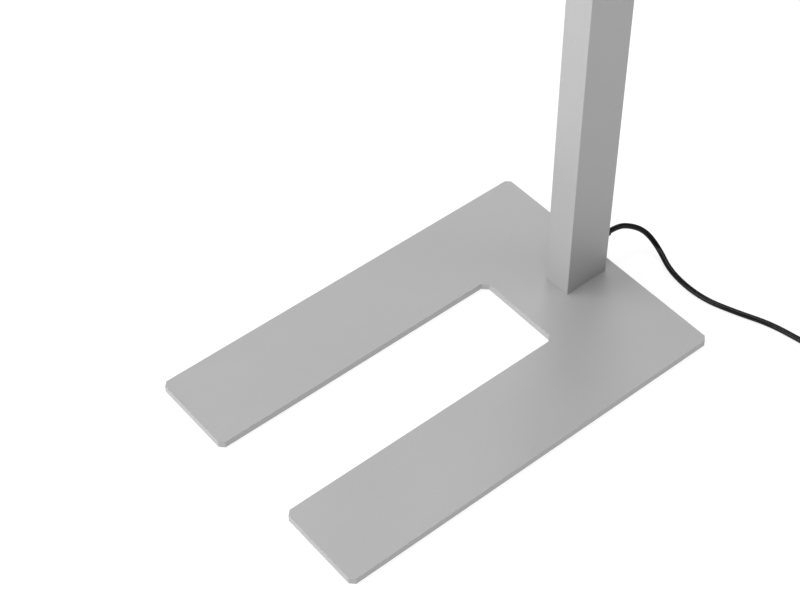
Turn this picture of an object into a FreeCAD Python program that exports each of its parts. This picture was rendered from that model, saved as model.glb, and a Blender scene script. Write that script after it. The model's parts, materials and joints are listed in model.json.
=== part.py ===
"""Office floor lamp: a U-shaped steel base, a rectangular post and a flat direct/indirect lamp head.

All sizes are in millimetres. The origin is on the floor under the post's axis, +Z is up, +X runs
across the two prongs of the base and the prongs point towards -Y, as the lamp head does.
"""
import FreeCAD, Part
import math
import os

V = FreeCAD.Vector

# ---- Base plate and what lies under it -------------------------------------------------------
base_width = 400.0             # across both prongs
base_depth = 604.0             # prong tips to back edge
base_thickness = 10.0
slot_width = 136.0             # free space between the prongs
slot_depth = 445.0             # from the prong tips to the back bar
corner_cut = 6.5               # the plate's outer corners are cut off at 45 degrees, seen from above
slot_corner_cut = 8.0          # the same at the two inner corners of the slot
plate_edge_round = 0.4         # rounding of the plate's top arrises
underlay_thickness = 2.0
underlay_inset = 6.0           # how far the underlay stays back from the plate's outline

# ---- Post --------------------------------------------------------------------------------------
lamp_height = 1950.0           # floor to the top of the lamp head
post_width = 44.0
post_depth = 72.0
post_wall = 2.5
post_edge_round = 1.0
post_back_margin = 18.25       # post's back face to the plate's back edge

# ---- Foot block in the post and its screws -----------------------------------------------------
slip_gap = 0.2                 # side clearance of a piece that slides into the post
thread_gap = 0.05              # radial clearance of a screw in its thread
pass_gap = 0.3                 # radial clearance of a screw in a clearance hole
hole_end_gap = 1.0             # a blind hole runs this much past its screw
foot_block_height = 30.0
base_screw_radius = 4.0
base_screw_head_radius = 7.6
base_screw_grip = 14.0         # length of the base screws inside the foot block
base_screw_x = 11.0
base_screw_y = 22.0
side_screw_radius = 2.5        # screws from the post's back face, at the foot and at the top
side_screw_head_radius = 4.6
side_screw_length = 15.0
side_screw_x = 10.0
foot_screw_height = 22.0       # above the plate's top

# ---- Mains cord ----------------------------------------------------------------------------------
cord_diameter = 8.0
cord_exit_height = 56.0
relief_length = 22.0           # strain relief outside the post's back face
relief_tip_radius = 5.4
relief_collar_radius = 9.0
relief_collar_thickness = 3.0
relief_edge_round = 0.8
relief_barrel_radius = 6.9
relief_barrel_inside = 10.0    # length of the threaded barrel inside the post's wall
relief_nut_flats = 18.0
relief_nut_thickness = 5.0
bore_gap = 0.1                 # radial clearance of a cord in a bore
lead_bend = 20.0               # bend of the inner lead from the relief up the post

# ---- Cord anchor that stands on the foot block ------------------------------------------------
anchor_width = 28.0
anchor_height = 62.0
anchor_sheet = 4.0
saddle_height = 14.0
saddle_wall = 3.0
small_screw_radius = 1.5       # anchor, driver, terminal and cover screws
small_head_radius = 2.8
small_head_height = 1.8
saddle_screw_x = 10.4
anchor_screw_y = -22.0
anchor_screw_grip = 10.0       # anchor screw inside the foot block

# ---- Foam spacers that keep the lead from rattling ---------------------------------------------
spacer_height = 16.0
spacer_low = 430.0             # undersides of the four spacers
spacer_below_panel = 830.0
spacer_above_panel = 1340.0
spacer_high = 1620.0

# ---- Control panel in the post's front face -----------------------------------------------------
panel_height = 1080.0          # centre of the panel above the floor
bezel_width = 34.0
bezel_length = 112.0
bezel_corner = 4.0
bezel_proud = 1.2
bezel_body_width = 29.0
bezel_body_length = 104.0
bezel_body_depth = 9.0
bezel_front = 2.6
bezel_wall = 1.6
bezel_gap = 0.2                # bezel body in the post's opening
bezel_edge_round = 0.5
bezel_body_corner = 1.2
bezel_hollow_corner = 1.0
opening_corner = 1.5           # corners of the post's opening
key_names = ["power", "brighter", "dimmer", "automatic"]
key_pitch = 21.0
key_width = 20.0
key_length = 15.0
key_corner = 4.0
key_proud = 1.0
key_gap = 0.3                  # key in the bezel's hole
key_lip = 1.25                 # retaining lip behind the bezel's front
key_lip_thickness = 1.0
key_rest_gap = 0.1             # lip to the bezel's inner face at rest
key_edge_round = 0.6
key_travel = 0.8
key_stem_radius = 2.2
board_thickness = 1.6
switch_size = 6.0
switch_height = 4.0
plunger_radius = 1.6
plunger_proud = 1.0
plunger_tail = 1.1             # length of the plunger inside its switch
plunger_gap = 0.2
indicator_radius = 1.5
indicator_offset = 45.0
indicator_proud = 0.2
board_screw_radius = 0.9
board_screw_head = 1.9
board_screw_head_height = 1.2
board_screw_grip = 4.5         # board screws inside their bosses
board_hole_depth = 5.0
board_screw_x = 9.5
board_screw_z = 46.5
board_boss_radius = 2.4
connector_size = 8.0
connector_depth = 6.4
connector_offset = 30.0
signal_lead_radius = 1.8
signal_x = 10.0
signal_bend = 5.0

# ---- Lamp head -----------------------------------------------------------------------------------
head_width = 300.0
head_length = 640.0
head_height = 34.0
head_corner = 8.0
head_edge_round = 0.8
frame_wall = 2.5
frame_step = 9.0               # width of the step that carries the tray, from the outside
frame_ledge = 13.0             # width of the ledge that carries the diffuser, from the outside
frame_ledge_thickness = 2.0
tray_level = 12.0              # underside of the gear tray above the frame's underside
tray_thickness = 2.0
fit_gap = 0.3                  # side clearance of panels in the frame
panel_corner = 1.0             # least rounding of the panels' corners
rail_flange = 12.0
rail_web = 2.0
gear_bay = 130.0               # back edge of the head to the first cross rail
sensor_bay = 50.0              # front edge of the head to the second cross rail
diffuser_thickness = 3.0
film_thickness = 0.5
underside_thickness = 2.0
cover_thickness = 2.0
window_thickness = 3.0

# ---- Joint of head and post -----------------------------------------------------------------------
spigot_length = 60.0
flange_width = 92.0
flange_depth = 89.0
flange_thickness = 5.0
flange_corner = 4.0
backing_thickness = 4.0
flange_screw_x = 36.0
flange_screw_y = 39.8
flange_screw_radius = 2.5
flange_screw_head = 4.5
flange_head_height = 3.0
top_screw_drop = 25.0          # bracket screws below the post's top
lead_bore = 5.0
signal_bore = 2.6

# ---- Light ------------------------------------------------------------------------------------------
board_width = 20.0
board_margin = 12.0            # LED boards to the cross rails
direct_boards = 3
direct_pitch = 80.0
indirect_boards = 2
indirect_pitch = 180.0
led_size = 3.0
led_height = 0.8
leds_per_board = 12
reflector_thickness = 0.5
reflector_gap = 1.0
tray_screw_radius = 1.5
tray_screw_inset = 40.0
tray_screws_per_side = 4
tray_screw_length = 8.0

# ---- Gear -----------------------------------------------------------------------------------------
driver_width = 58.0
driver_length = 90.0
driver_height = 15.0
driver_x = 95.0
driver_y = -5.0
driver_tab = 9.0
driver_tab_thickness = 3.0
driver_edge_round = 1.5
terminal_width = 30.0
terminal_depth = 18.0
terminal_height = 12.0
terminal_y = -64.0
terminal_pitch = 8.0
terminal_well_depth = 6.0
core_radius = 1.1
core_spread = 2.0              # cores from the lead's axis
core_entry = 7.0               # height of the terminal's entries above the tray
core_rise = 6.5                # outer cores above the sheath's end
core_crossing = 3.5            # middle core above the outer ones
core_straight = 12.0           # straight end of a core in front of the terminal block
core_grip = 5.0                # core inside the terminal block
sheath_stub = 1.0              # sheath above the flange
driver_lead_radius = 1.8
driver_lead_lift = 1.0         # driver leads above the cores' entries
driver_lead_sweep = 3.0        # driver leads swing this far forwards at their corner
spacer_radius = 4.0
spacer_x = 132.0
spacer_inset = 15.0
vent_count = 9
vent_width = 3.0
vent_length = 34.0
vent_pitch = 9.0
vent_corner = 1.4
vent_x = 95.0
cover_screw_grip = 7.0         # cover screws inside their spacers
cover_hole_depth = 9.0

# ---- Presence and daylight sensor ------------------------------------------------------------------
sensor_width = 34.0
sensor_depth = 26.0
sensor_height = 7.5
lens_radius = 7.0
lens_gap = 0.15
lens_cap = 2.5                 # height of the lens's dome
lens_collar = 3.0

# ---- Put-away coil, tie and plug --------------------------------------------------------------------
coil_outer = 64.0              # radius of the outermost turn's centreline
coil_pitch = 8.5               # between neighbouring turns, and between the layers
coil_half_turns_in = 8
coil_half_turns_out = 7
tie_thickness = 0.6
tie_gap = 0.15
tie_side_gap = 0.6
tie_width = 10.0
plug_tail_radius = 5.4
plug_sleeve_radius = 6.6
plug_sleeve_length = 20.0
plug_neck_radius = 9.5
plug_grip_radius = 14.0
plug_grip_length = 18.0
plug_disc_radius = 18.5
plug_disc_length = 19.0
plug_floor_gap = 0.2           # the plug lies on its side
plug_pin_radius = 2.4
plug_pin_length = 19.0
plug_pin_pitch = 19.0
plug_clip_width = 4.0
plug_clip_thickness = 0.8
plug_clip_length = 14.0
plug_clip_sink = 1.0           # clip's outer face below the disc's rim
plug_clip_setback = 1.5        # clip's end behind the plug's face
plug_slot_gap = 0.6            # slot beside the clip
plug_shoulder = 4.0            # flare between the grip and the disc
plug_face_round = 1.2
plug_pin_round = 1.0

# From the coil to the plug: run length, change of heading in degrees and share of the rise to the plug.
end_runs = [(20.0, 0.0, 0.0), (26.0, 9.0, 1.0), (18.0, 7.0, 1.0)]

# ---- Levels and places that follow from the sizes above -----------------------------------------
plate_bottom = underlay_thickness
plate_top = plate_bottom + base_thickness
back_edge = post_depth / 2 + post_back_margin
tip_edge = back_edge - base_depth
slot_end = tip_edge + slot_depth
post_back = post_depth / 2
post_front = -post_depth / 2
inner_width = post_width - 2 * post_wall
inner_depth = post_depth - 2 * post_wall
cord_radius = cord_diameter / 2

head_bottom = lamp_height - head_height
head_back = back_edge
head_front = head_back - head_length
tray_bottom = head_bottom + tray_level
tray_top = tray_bottom + tray_thickness
ledge_top = head_bottom + frame_ledge_thickness
flange_top = tray_top + flange_thickness
rail_back_y = head_back - gear_bay
rail_front_y = head_front + sensor_bay
signal_y = post_front + bezel_body_depth + board_thickness + connector_depth / 2
relief_tip = post_back + relief_length
coil_level = tie_thickness + tie_gap + cord_radius

# The cord's route from the strain relief to the coil, as (x, y, z) of its control points.
cord_route = [
    (0.0, relief_tip, cord_exit_height),
    (0.0, relief_tip + 12.0, cord_exit_height),
    (3.5, 88.5, 52.5),
    (16.5, 113.0, 37.5),
    (40.0, 120.0, 16.0),
    (78.5, 107.5, cord_radius),
    (138.0, 105.0, cord_radius),
    (186.5, 122.5, cord_radius),
    (230.5, 142.5, cord_radius),
    (277.0, 152.0, cord_radius),
    (320.0, 159.5, coil_level),
    (342.4, 164.9, coil_level),
]


# ---- Building blocks ----------------------------------------------------------------------------
def block(x0, x1, y0, y1, z0, z1):
    """A box between two corners."""
    return Part.makeBox(x1 - x0, y1 - y0, z1 - z0, V(x0, y0, z0))


def centred(width, depth, z0, z1, x=0.0, y=0.0):
    """A box centred on x, y between two levels."""
    return block(x - width / 2, x + width / 2, y - depth / 2, y + depth / 2, z0, z1)


def rod(point, direction, radius, length):
    """A cylinder from a point along a direction."""
    return Part.makeCylinder(radius, length, V(*point), V(*direction))


def cut(solid, tools):
    """The solid less every tool."""
    return solid.cut(Part.makeCompound(tools)) if tools else solid


def turn_between(u, v):
    return math.acos(max(-1.0, min(1.0, u.dot(v))))


def bend(start, corner, end):
    """The arc that leaves start towards corner and arrives at end from corner."""
    middle = (start + end) * 0.5
    c = (start - middle).Length / (start - corner).Length
    return Part.Arc(start, middle + (corner - middle) * (c / (1 + c)), end).toShape()


def unit(vector):
    return vector * (1.0 / vector.Length)


def outline(corners, radius):
    """A closed wire through the corners, each one rounded."""
    points = [V(*corner) for corner in corners]
    count = len(points)
    rounds = []
    for i in range(count):
        back = unit(points[i - 1] - points[i])
        ahead = unit(points[(i + 1) % count] - points[i])
        reach = radius / math.tan(turn_between(back, ahead) / 2)
        rounds.append((points[i] + back * reach, points[i], points[i] + ahead * reach))
    edges = []
    for i in range(count):
        edges.append(bend(*rounds[i]))
        edges.append(Part.LineSegment(rounds[i][2], rounds[(i + 1) % count][0]).toShape())
    return Part.Wire(edges)


def slab(corners, radius, z0, z1):
    """A plate with a rounded outline between two levels."""
    wire = outline([(x, y, z0) for x, y in corners], radius)
    return Part.Face(wire).extrude(V(0, 0, z1 - z0))


def cut_outline(corners, cuts):
    """The polygon that is left when each corner is cut off straight, its own cut along both sides."""
    points = []
    for i, (corner, reach) in enumerate(zip(corners, cuts)):
        here = V(*corner)
        for other in (corners[i - 1], corners[(i + 1) % len(corners)]):
            points.append(here + unit(V(*other) - here) * reach)
    return points + points[:1]


def rectangle(x0, x1, y0, y1):
    return [(x0, y0), (x1, y0), (x1, y1), (x0, y1)]


def upright_panel(width, length, radius, y0, y1, z):
    """A rounded rectangle that stands in the XZ plane, centred on x = 0 and the level z."""
    corners = [(x, y0, z + dz) for x, dz in rectangle(-width / 2, width / 2, -length / 2, length / 2)]
    return Part.Face(outline(corners, radius)).extrude(V(0, y1 - y0, 0))


def soften(solid, radius, chosen):
    """Rounds the edges that chosen(edge) picks."""
    return solid.makeFillet(radius, [edge for edge in solid.Edges if chosen(edge)])


def flat_at(level):
    """Picks edges that lie at one level."""
    return lambda edge: abs(edge.BoundBox.ZMin - level) < 1e-4 and abs(edge.BoundBox.ZMax - level) < 1e-4


def countersunk_screw(point, direction, radius, head_radius, length):
    """A flat-head screw whose head face lies at the point; a 90 degree head."""
    head = Part.makeCone(head_radius, radius, head_radius - radius, V(*point), V(*direction))
    return head.fuse(rod(point, direction, radius, length)).removeSplitter()


def countersink(point, direction, radius, head_radius, gap, length):
    """The hole for that screw, wider by the gap."""
    cone = Part.makeCone(head_radius + gap, radius + gap, head_radius - radius, V(*point), V(*direction))
    return cone.fuse(rod(point, direction, radius + gap, length))


def pan_screw(point, direction, radius, head_radius, head_height, length):
    """A screw with a cylindrical head; the point is where the head sits, the direction its shank."""
    shank = rod(point, direction, radius, length)
    head = Part.makeCylinder(head_radius, head_height, V(*point), V(*direction) * -1)
    return shank.fuse(head).removeSplitter()


def mirrored(x, y):
    return [(sx * x, sy * y) for sx in (-1, 1) for sy in (-1, 1)]


def write(name, solids):
    """Writes one sub-part as a STEP file."""
    shape = solids[0] if len(solids) == 1 else Part.makeCompound(solids)
    for solid in shape.Solids:
        if not solid.isValid():
            print("invalid solid in", name)
    shape.exportStep(os.path.join("parts", name + ".step"))
    return shape


# ---- Cord tubes -------------------------------------------------------------------------------------
arc_share = 0.45               # an arc's reach along the shorter of its two runs
gap_samples = 1600             # points on which a coil's gap to itself is measured


def rounded_path(points, most=None):
    """Straight runs joined by tangent arcs, each as large as its two runs allow or the most given."""
    points = [V(*point) for point in points]
    edges = []
    radii = []
    here = points[0]
    for before, corner, after in zip(points, points[1:], points[2:]):
        u = unit(corner - before)
        v = unit(after - corner)
        turn = turn_between(u, v)
        radius = arc_share * min((corner - before).Length, (after - corner).Length) / math.tan(turn / 2)
        radius = min(radius, most) if most else radius
        reach = radius * math.tan(turn / 2)
        edges.append(Part.LineSegment(here, corner - u * reach).toShape())
        edges.append(bend(corner - u * reach, corner, corner + v * reach))
        here = corner + v * reach
        radii.append(radius)
    edges.append(Part.LineSegment(here, points[-1]).toShape())
    return Part.Wire(edges), radii


def tube(path, radius):
    """A round tube along a path of tangent edges."""
    start = path.Edges[0]
    direction = start.tangentAt(start.FirstParameter)
    ring = Part.Wire(Part.makeCircle(radius, start.Vertexes[0].Point, direction))
    return Part.Wire(path).makePipeShell([ring], True, False)


def check_tube(name, solid, path, radius):
    ratio = solid.Volume / (math.pi * radius ** 2 * path.Length)
    print("%s: length %.1f mm, volume / (section x length) %.4f" % (name, path.Length, ratio))


def coil_path(start, heading, level):
    """The coil's centreline: a spiral inwards, a climb over half a turn and a spiral outwards above."""
    ahead = V(math.cos(heading), math.sin(heading), 0)
    left = V(-ahead.y, ahead.x, 0)
    begin = V(start[0], start[1], level)
    entry = begin + ahead * cord_diameter
    centre = entry + left * coil_outer
    side = left * -1
    edges = [Part.LineSegment(begin, entry).toShape()]

    def half_turn(middle, radius, sign):
        """Two quarter turns from one side of the middle to the other, turning left."""
        first = middle + side * (radius * sign)
        top = middle + ahead * (radius * sign)
        last = middle - side * (radius * sign)
        for a, b in ((first, top), (top, last)):
            corner = a + b - middle
            edges.append(bend(a, corner, b))

    step = coil_pitch / 2
    for i in range(coil_half_turns_in):
        shift = side * (step * (i % 2))
        half_turn(centre - shift, coil_outer - i * step, 1 if i % 2 == 0 else -1)
    inner = coil_outer - coil_half_turns_in * step
    lift = V(0, 0, coil_pitch)
    low = centre + side * inner
    high = centre - side * inner + lift
    reach = math.sqrt(inner ** 2 + (coil_pitch / 2) ** 2)
    corner_low = low + ahead * reach
    corner_high = high + ahead * reach
    joint = (corner_low + corner_high) * 0.5
    edges.append(bend(low, corner_low, joint))
    edges.append(bend(joint, corner_high, high))
    for i in range(coil_half_turns_out):
        shift = side * (step * ((i + 1) % 2))
        sign = -1 if i % 2 == 0 else 1
        half_turn(centre + lift + shift, inner + (i + 1) * step, sign)
    end = centre + lift + side * coil_outer
    edges.append(Part.LineSegment(end, end + ahead * cord_diameter).toShape())
    return Part.Wire(edges), centre, end + ahead * cord_diameter


def least_self_gap(path, diameter):
    """The least gap of a coil to itself, on points along its centreline."""
    points = path.discretize(Number=gap_samples)
    spacing = path.Length / (gap_samples - 1)
    skip = int(math.ceil(2.5 * diameter / spacing))
    least = path.Length
    for i in range(0, len(points), 2):
        for other in points[i + skip:]:
            gap = (points[i] - other).Length
            if gap < least:
                least = gap
    return least - diameter


# ---- Base --------------------------------------------------------------------------------------------
def base_slab(inset, z0, z1):
    """A slab with the base's U outline, set back by the inset all round."""
    x = base_width / 2 - inset
    s = slot_width / 2 + inset
    tip = tip_edge + inset
    end = slot_end + inset
    back = back_edge - inset
    corners = [(-x, tip, z0), (-s, tip, z0), (-s, end, z0), (s, end, z0),
               (s, tip, z0), (x, tip, z0), (x, back, z0), (-x, back, z0)]
    cuts = [slot_corner_cut if y == end else corner_cut for x, y, z in corners]
    return Part.Face(Part.makePolygon(cut_outline(corners, cuts))).extrude(V(0, 0, z1 - z0))


def base_screw_places():
    return mirrored(base_screw_x, base_screw_y)


def make_base():
    plate = base_slab(0.0, plate_bottom, plate_top)
    plate = soften(plate, plate_edge_round, flat_at(plate_top))
    holes = [countersink((x, y, plate_bottom), (0, 0, 1), base_screw_radius, base_screw_head_radius,
                         pass_gap, base_thickness) for x, y in base_screw_places()]
    write("base_plate", [cut(plate, holes)])
    write("base_underlay", [base_slab(underlay_inset, 0.0, plate_bottom)])


def make_foot_block():
    top = plate_top + foot_block_height
    body = centred(inner_width - 2 * slip_gap, inner_depth - 2 * slip_gap, plate_top, top)
    holes = [rod((x, y, plate_top), (0, 0, 1), base_screw_radius + thread_gap, base_screw_grip + hole_end_gap)
             for x, y in base_screw_places()]
    level = plate_top + foot_screw_height
    holes += side_thread_holes(level)
    holes.append(rod((0, anchor_screw_y, top), (0, 0, -1), small_screw_radius + thread_gap,
                     anchor_screw_grip + hole_end_gap))
    write("foot_block", [cut(body, holes)])
    write("base_screws", [
        countersunk_screw((x, y, plate_bottom), (0, 0, 1), base_screw_radius, base_screw_head_radius,
                          base_thickness + base_screw_grip) for x, y in base_screw_places()])


def side_screw_holes(level):
    return [countersink((x, post_back, level), (0, -1, 0), side_screw_radius, side_screw_head_radius,
                        pass_gap, post_wall) for x in (-side_screw_x, side_screw_x)]


def side_thread_holes(level):
    return [rod((x, post_back, level), (0, -1, 0), side_screw_radius + thread_gap,
                side_screw_length + hole_end_gap) for x in (-side_screw_x, side_screw_x)]


def side_screws(level):
    return [countersunk_screw((x, post_back, level), (0, -1, 0), side_screw_radius, side_screw_head_radius,
                              side_screw_length) for x in (-side_screw_x, side_screw_x)]


# ---- Post --------------------------------------------------------------------------------------------
def make_post():
    half_x = post_width / 2
    half_y = post_depth / 2
    post = slab(rectangle(-half_x, half_x, -half_y, half_y), post_edge_round, plate_top, tray_bottom)
    hollow = centred(inner_width, inner_depth, plate_top, tray_bottom)
    opening = upright_panel(bezel_body_width + 2 * bezel_gap, bezel_body_length + 2 * bezel_gap, opening_corner,
                            post_front, post_front + post_wall, panel_height)
    relief_hole = rod((0, post_back, cord_exit_height), (0, -1, 0), relief_barrel_radius + bore_gap, post_wall)
    tools = [hollow, opening, relief_hole]
    tools += side_screw_holes(plate_top + foot_screw_height)
    tools += side_screw_holes(tray_bottom - top_screw_drop)
    write("post", [cut(post, tools)])
    write("post_screws", side_screws(plate_top + foot_screw_height) + side_screws(tray_bottom - top_screw_drop))


# ---- Cord exit and inner lead ----------------------------------------------------------------------
def make_strain_relief():
    collar = post_back + relief_collar_thickness
    inside = post_back - post_wall - relief_barrel_inside
    barrel = rod((0, inside, cord_exit_height), (0, 1, 0), relief_barrel_radius, post_back - inside)
    ring = rod((0, post_back, cord_exit_height), (0, 1, 0), relief_collar_radius, relief_collar_thickness)
    ring = soften(ring, relief_edge_round, lambda edge: abs(edge.BoundBox.YMin - collar) < 1e-4)
    cone = Part.makeCone(relief_barrel_radius, relief_tip_radius, relief_tip - collar,
                         V(0, collar, cord_exit_height), V(0, 1, 0))
    bore = rod((0, inside, cord_exit_height), (0, 1, 0), cord_radius + bore_gap, relief_tip - inside)
    write("strain_relief", [barrel.fuse([ring, cone]).cut(bore).removeSplitter()])
    wall = post_back - post_wall
    corner_radius = relief_nut_flats / math.sqrt(3)
    corners = [(corner_radius * math.cos(math.radians(60 * i)), wall,
                cord_exit_height + corner_radius * math.sin(math.radians(60 * i))) for i in range(7)]
    nut = Part.Face(Part.makePolygon([V(*corner) for corner in corners])).extrude(V(0, -relief_nut_thickness, 0))
    thread = rod((0, wall, cord_exit_height), (0, -1, 0), relief_barrel_radius + thread_gap, relief_nut_thickness)
    write("relief_nut", [nut.cut(thread)])


def make_anchor():
    foot = plate_top + foot_block_height
    face = -cord_radius - bore_gap
    half = anchor_width / 2
    upright = block(-half, half, face - anchor_sheet, face, foot, foot + anchor_height)
    base = block(-half, half, -inner_depth / 2 + slip_gap, face, foot, foot + anchor_sheet)
    level = foot + anchor_height - saddle_height / 2
    holes = [rod((x, face, level), (0, -1, 0), small_screw_radius + thread_gap, anchor_sheet)
             for x in (-saddle_screw_x, saddle_screw_x)]
    holes.append(rod((0, anchor_screw_y, foot), (0, 0, 1), small_screw_radius + pass_gap, anchor_sheet))
    write("cord_anchor", [cut(upright.fuse(base).removeSplitter(), holes)])
    low = level - saddle_height / 2
    high = level + saddle_height / 2
    inner = cord_radius + bore_gap
    outer = inner + saddle_wall
    saddle = block(-half, half, face, face + saddle_wall, low, high)
    hump = rod((0, 0, low), (0, 0, 1), outer, saddle_height).common(block(-half, half, face, outer, low, high))
    channel = rod((0, 0, low), (0, 0, 1), inner, saddle_height).fuse(block(-inner, inner, face, 0, low, high))
    tools = [channel]
    tools += [rod((x, face, level), (0, 1, 0), small_screw_radius + pass_gap, saddle_wall)
              for x in (-saddle_screw_x, saddle_screw_x)]
    write("cord_saddle", [cut(saddle.fuse(hump).removeSplitter(), tools)])
    screws = [pan_screw((x, face + saddle_wall, level), (0, -1, 0), small_screw_radius, small_head_radius,
                        small_head_height, saddle_wall + anchor_sheet) for x in (-saddle_screw_x, saddle_screw_x)]
    screws.append(pan_screw((0, anchor_screw_y, foot + anchor_sheet), (0, 0, -1), small_screw_radius,
                            small_head_radius, small_head_height, anchor_sheet + anchor_screw_grip))
    write("anchor_screws", screws)


def make_inner_lead():
    path, _ = rounded_path([(0, relief_tip, cord_exit_height), (0, 0, cord_exit_height),
                            (0, 0, flange_top + sheath_stub)], lead_bend)
    lead = tube(path, cord_radius)
    check_tube("inner_lead", lead, path, cord_radius)
    write("inner_lead", [lead])
    signal_start = panel_height + connector_offset + connector_size
    signal_end = driver_x - driver_width / 2
    turn_level = flange_top + sheath_stub + signal_bend
    path, _ = rounded_path([(signal_x, signal_y, signal_start), (signal_x, signal_y, turn_level),
                            (signal_end, signal_y, turn_level)], signal_bend)
    lead = tube(path, signal_lead_radius)
    check_tube("control_lead", lead, path, signal_lead_radius)
    write("control_lead", [lead])
    spacers = []
    for level in (spacer_low, spacer_below_panel, spacer_above_panel, spacer_high):
        foam = centred(inner_width - 2 * slip_gap, inner_depth - 2 * slip_gap, level, level + spacer_height)
        bores = [rod((0, 0, level), (0, 0, 1), cord_radius + bore_gap, spacer_height),
                 rod((signal_x, signal_y, level), (0, 0, 1), signal_lead_radius + bore_gap, spacer_height)]
        spacers.append(cut(foam, bores))
    write("lead_spacers", spacers)


# ---- Control panel -----------------------------------------------------------------------------------
def key_levels():
    first = panel_height + key_pitch * (len(key_names) - 1) / 2
    return [first - key_pitch * i for i in range(len(key_names))]


def board_screw_places():
    return [(x, panel_height + dz) for x, dz in mirrored(board_screw_x, board_screw_z)]


def make_panel():
    face = post_front - bezel_proud
    inside = face + bezel_front
    board_front = post_front + bezel_body_depth
    board_back = board_front + board_thickness
    plate = upright_panel(bezel_width, bezel_length, bezel_corner, face, post_front, panel_height)
    plate = soften(plate, bezel_edge_round, lambda edge: abs(edge.BoundBox.YMax - face) < 1e-4)
    body = upright_panel(bezel_body_width, bezel_body_length, bezel_body_corner, post_front, board_front,
                         panel_height)
    hollow = upright_panel(bezel_body_width - 2 * bezel_wall, bezel_body_length - 2 * bezel_wall,
                           bezel_hollow_corner, inside, board_front, panel_height)
    shell = plate.fuse(body).removeSplitter().cut(hollow)
    bosses = [rod((x, inside, z), (0, 1, 0), board_boss_radius, board_front - inside)
              for x, z in board_screw_places()]
    shell = shell.fuse(bosses)
    tools = [rod((x, board_front, z), (0, -1, 0), board_screw_radius + thread_gap, board_hole_depth)
             for x, z in board_screw_places()]
    tools += [upright_panel(key_width + 2 * key_gap, key_length + 2 * key_gap, key_corner + key_gap,
                            face, inside, z) for z in key_levels()]
    light = panel_height + indicator_offset
    tools.append(rod((0, face, light), (0, 1, 0), indicator_radius + bore_gap, bezel_front))
    write("panel_bezel", [cut(shell, tools)])

    board = upright_panel(bezel_body_width, bezel_body_length, bezel_body_corner, board_front, board_back,
                          panel_height)
    holes = [rod((x, board_front, z), (0, 1, 0), board_screw_radius + pass_gap, board_thickness)
             for x, z in board_screw_places()]
    low = panel_height + connector_offset
    half = connector_size / 2
    connector = block(signal_x - half, signal_x + half, board_back, board_back + connector_depth,
                      low, low + connector_size)
    write("control_board", [cut(board, holes), connector])
    write("board_screws", [pan_screw((x, board_back, z), (0, -1, 0), board_screw_radius, board_screw_head,
                                     board_screw_head_height, board_thickness + board_screw_grip)
                           for x, z in board_screw_places()])
    write("indicator_light", [rod((0, face - indicator_proud, light), (0, 1, 0), indicator_radius,
                                  board_front - face + indicator_proud)])
    make_keys(face, inside, board_front)


def make_keys(face, inside, board_front):
    switch_front = board_front - switch_height
    tip = switch_front - plunger_proud
    lip_front = inside + key_rest_gap
    lip_back = lip_front + key_lip_thickness
    switches = []
    for name, z in zip(key_names, key_levels()):
        cap = upright_panel(key_width, key_length, key_corner, face - key_proud, lip_front, z)
        cap = soften(cap, key_edge_round, lambda edge: abs(edge.BoundBox.YMax - face + key_proud) < 1e-4)
        lip = upright_panel(key_width + 2 * key_lip, key_length + 2 * key_lip, key_corner, lip_front, lip_back, z)
        stem = rod((0, lip_back, z), (0, 1, 0), key_stem_radius, tip - lip_back)
        write("button_" + name, [cap.fuse([lip, stem]).removeSplitter()])
        write("plunger_" + name, [rod((0, tip, z), (0, 1, 0), plunger_radius, plunger_proud + plunger_tail)])
        half = switch_size / 2
        body = block(-half, half, switch_front, board_front, z - half, z + half)
        well = rod((0, switch_front, z), (0, 1, 0), plunger_radius + plunger_gap,
                   plunger_tail + key_travel + plunger_gap)
        switches.append(body.cut(well))
    write("key_switches", switches)


# ---- Lamp head --------------------------------------------------------------------------------------
def head_slab(inset, z0, z1):
    """A slab with the head's outline, set back by the inset."""
    corners = rectangle(-head_width / 2 + inset, head_width / 2 - inset, head_front + inset, head_back - inset)
    return slab(corners, max(head_corner - inset, panel_corner), z0, z1)


def tray_screw_places():
    x = head_width / 2 - (frame_wall + frame_step) / 2
    span = head_length - 2 * tray_screw_inset
    ys = [head_front + tray_screw_inset + span * i / (tray_screws_per_side - 1)
          for i in range(tray_screws_per_side)]
    return [(sx * x, y) for sx in (-1, 1) for y in ys]


def flange_screw_places():
    return mirrored(flange_screw_x, flange_screw_y)


def make_frame():
    frame = head_slab(0.0, head_bottom, lamp_height)
    frame = soften(frame, head_edge_round, lambda edge: flat_at(lamp_height)(edge) or flat_at(head_bottom)(edge))
    tools = [head_slab(frame_ledge, head_bottom, ledge_top), head_slab(frame_step, ledge_top, tray_bottom),
             head_slab(frame_wall, tray_bottom, lamp_height)]
    tools += [rod((x, y, tray_bottom), (0, 0, -1), tray_screw_radius + thread_gap, tray_screw_length)
              for x, y in tray_screw_places()]
    write("head_frame", [cut(frame, tools)])

    inner = head_width / 2 - frame_ledge - fit_gap
    web = head_width / 2 - frame_step - fit_gap
    rails = []
    for y in (rail_back_y, rail_front_y):
        flange = block(-inner, inner, y - rail_flange / 2, y + rail_flange / 2, head_bottom, ledge_top)
        rib = block(-web, web, y - rail_web / 2, y + rail_web / 2, ledge_top, tray_bottom)
        rails.append(flange.fuse(rib).removeSplitter())
    write("cross_rails", rails)


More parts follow.
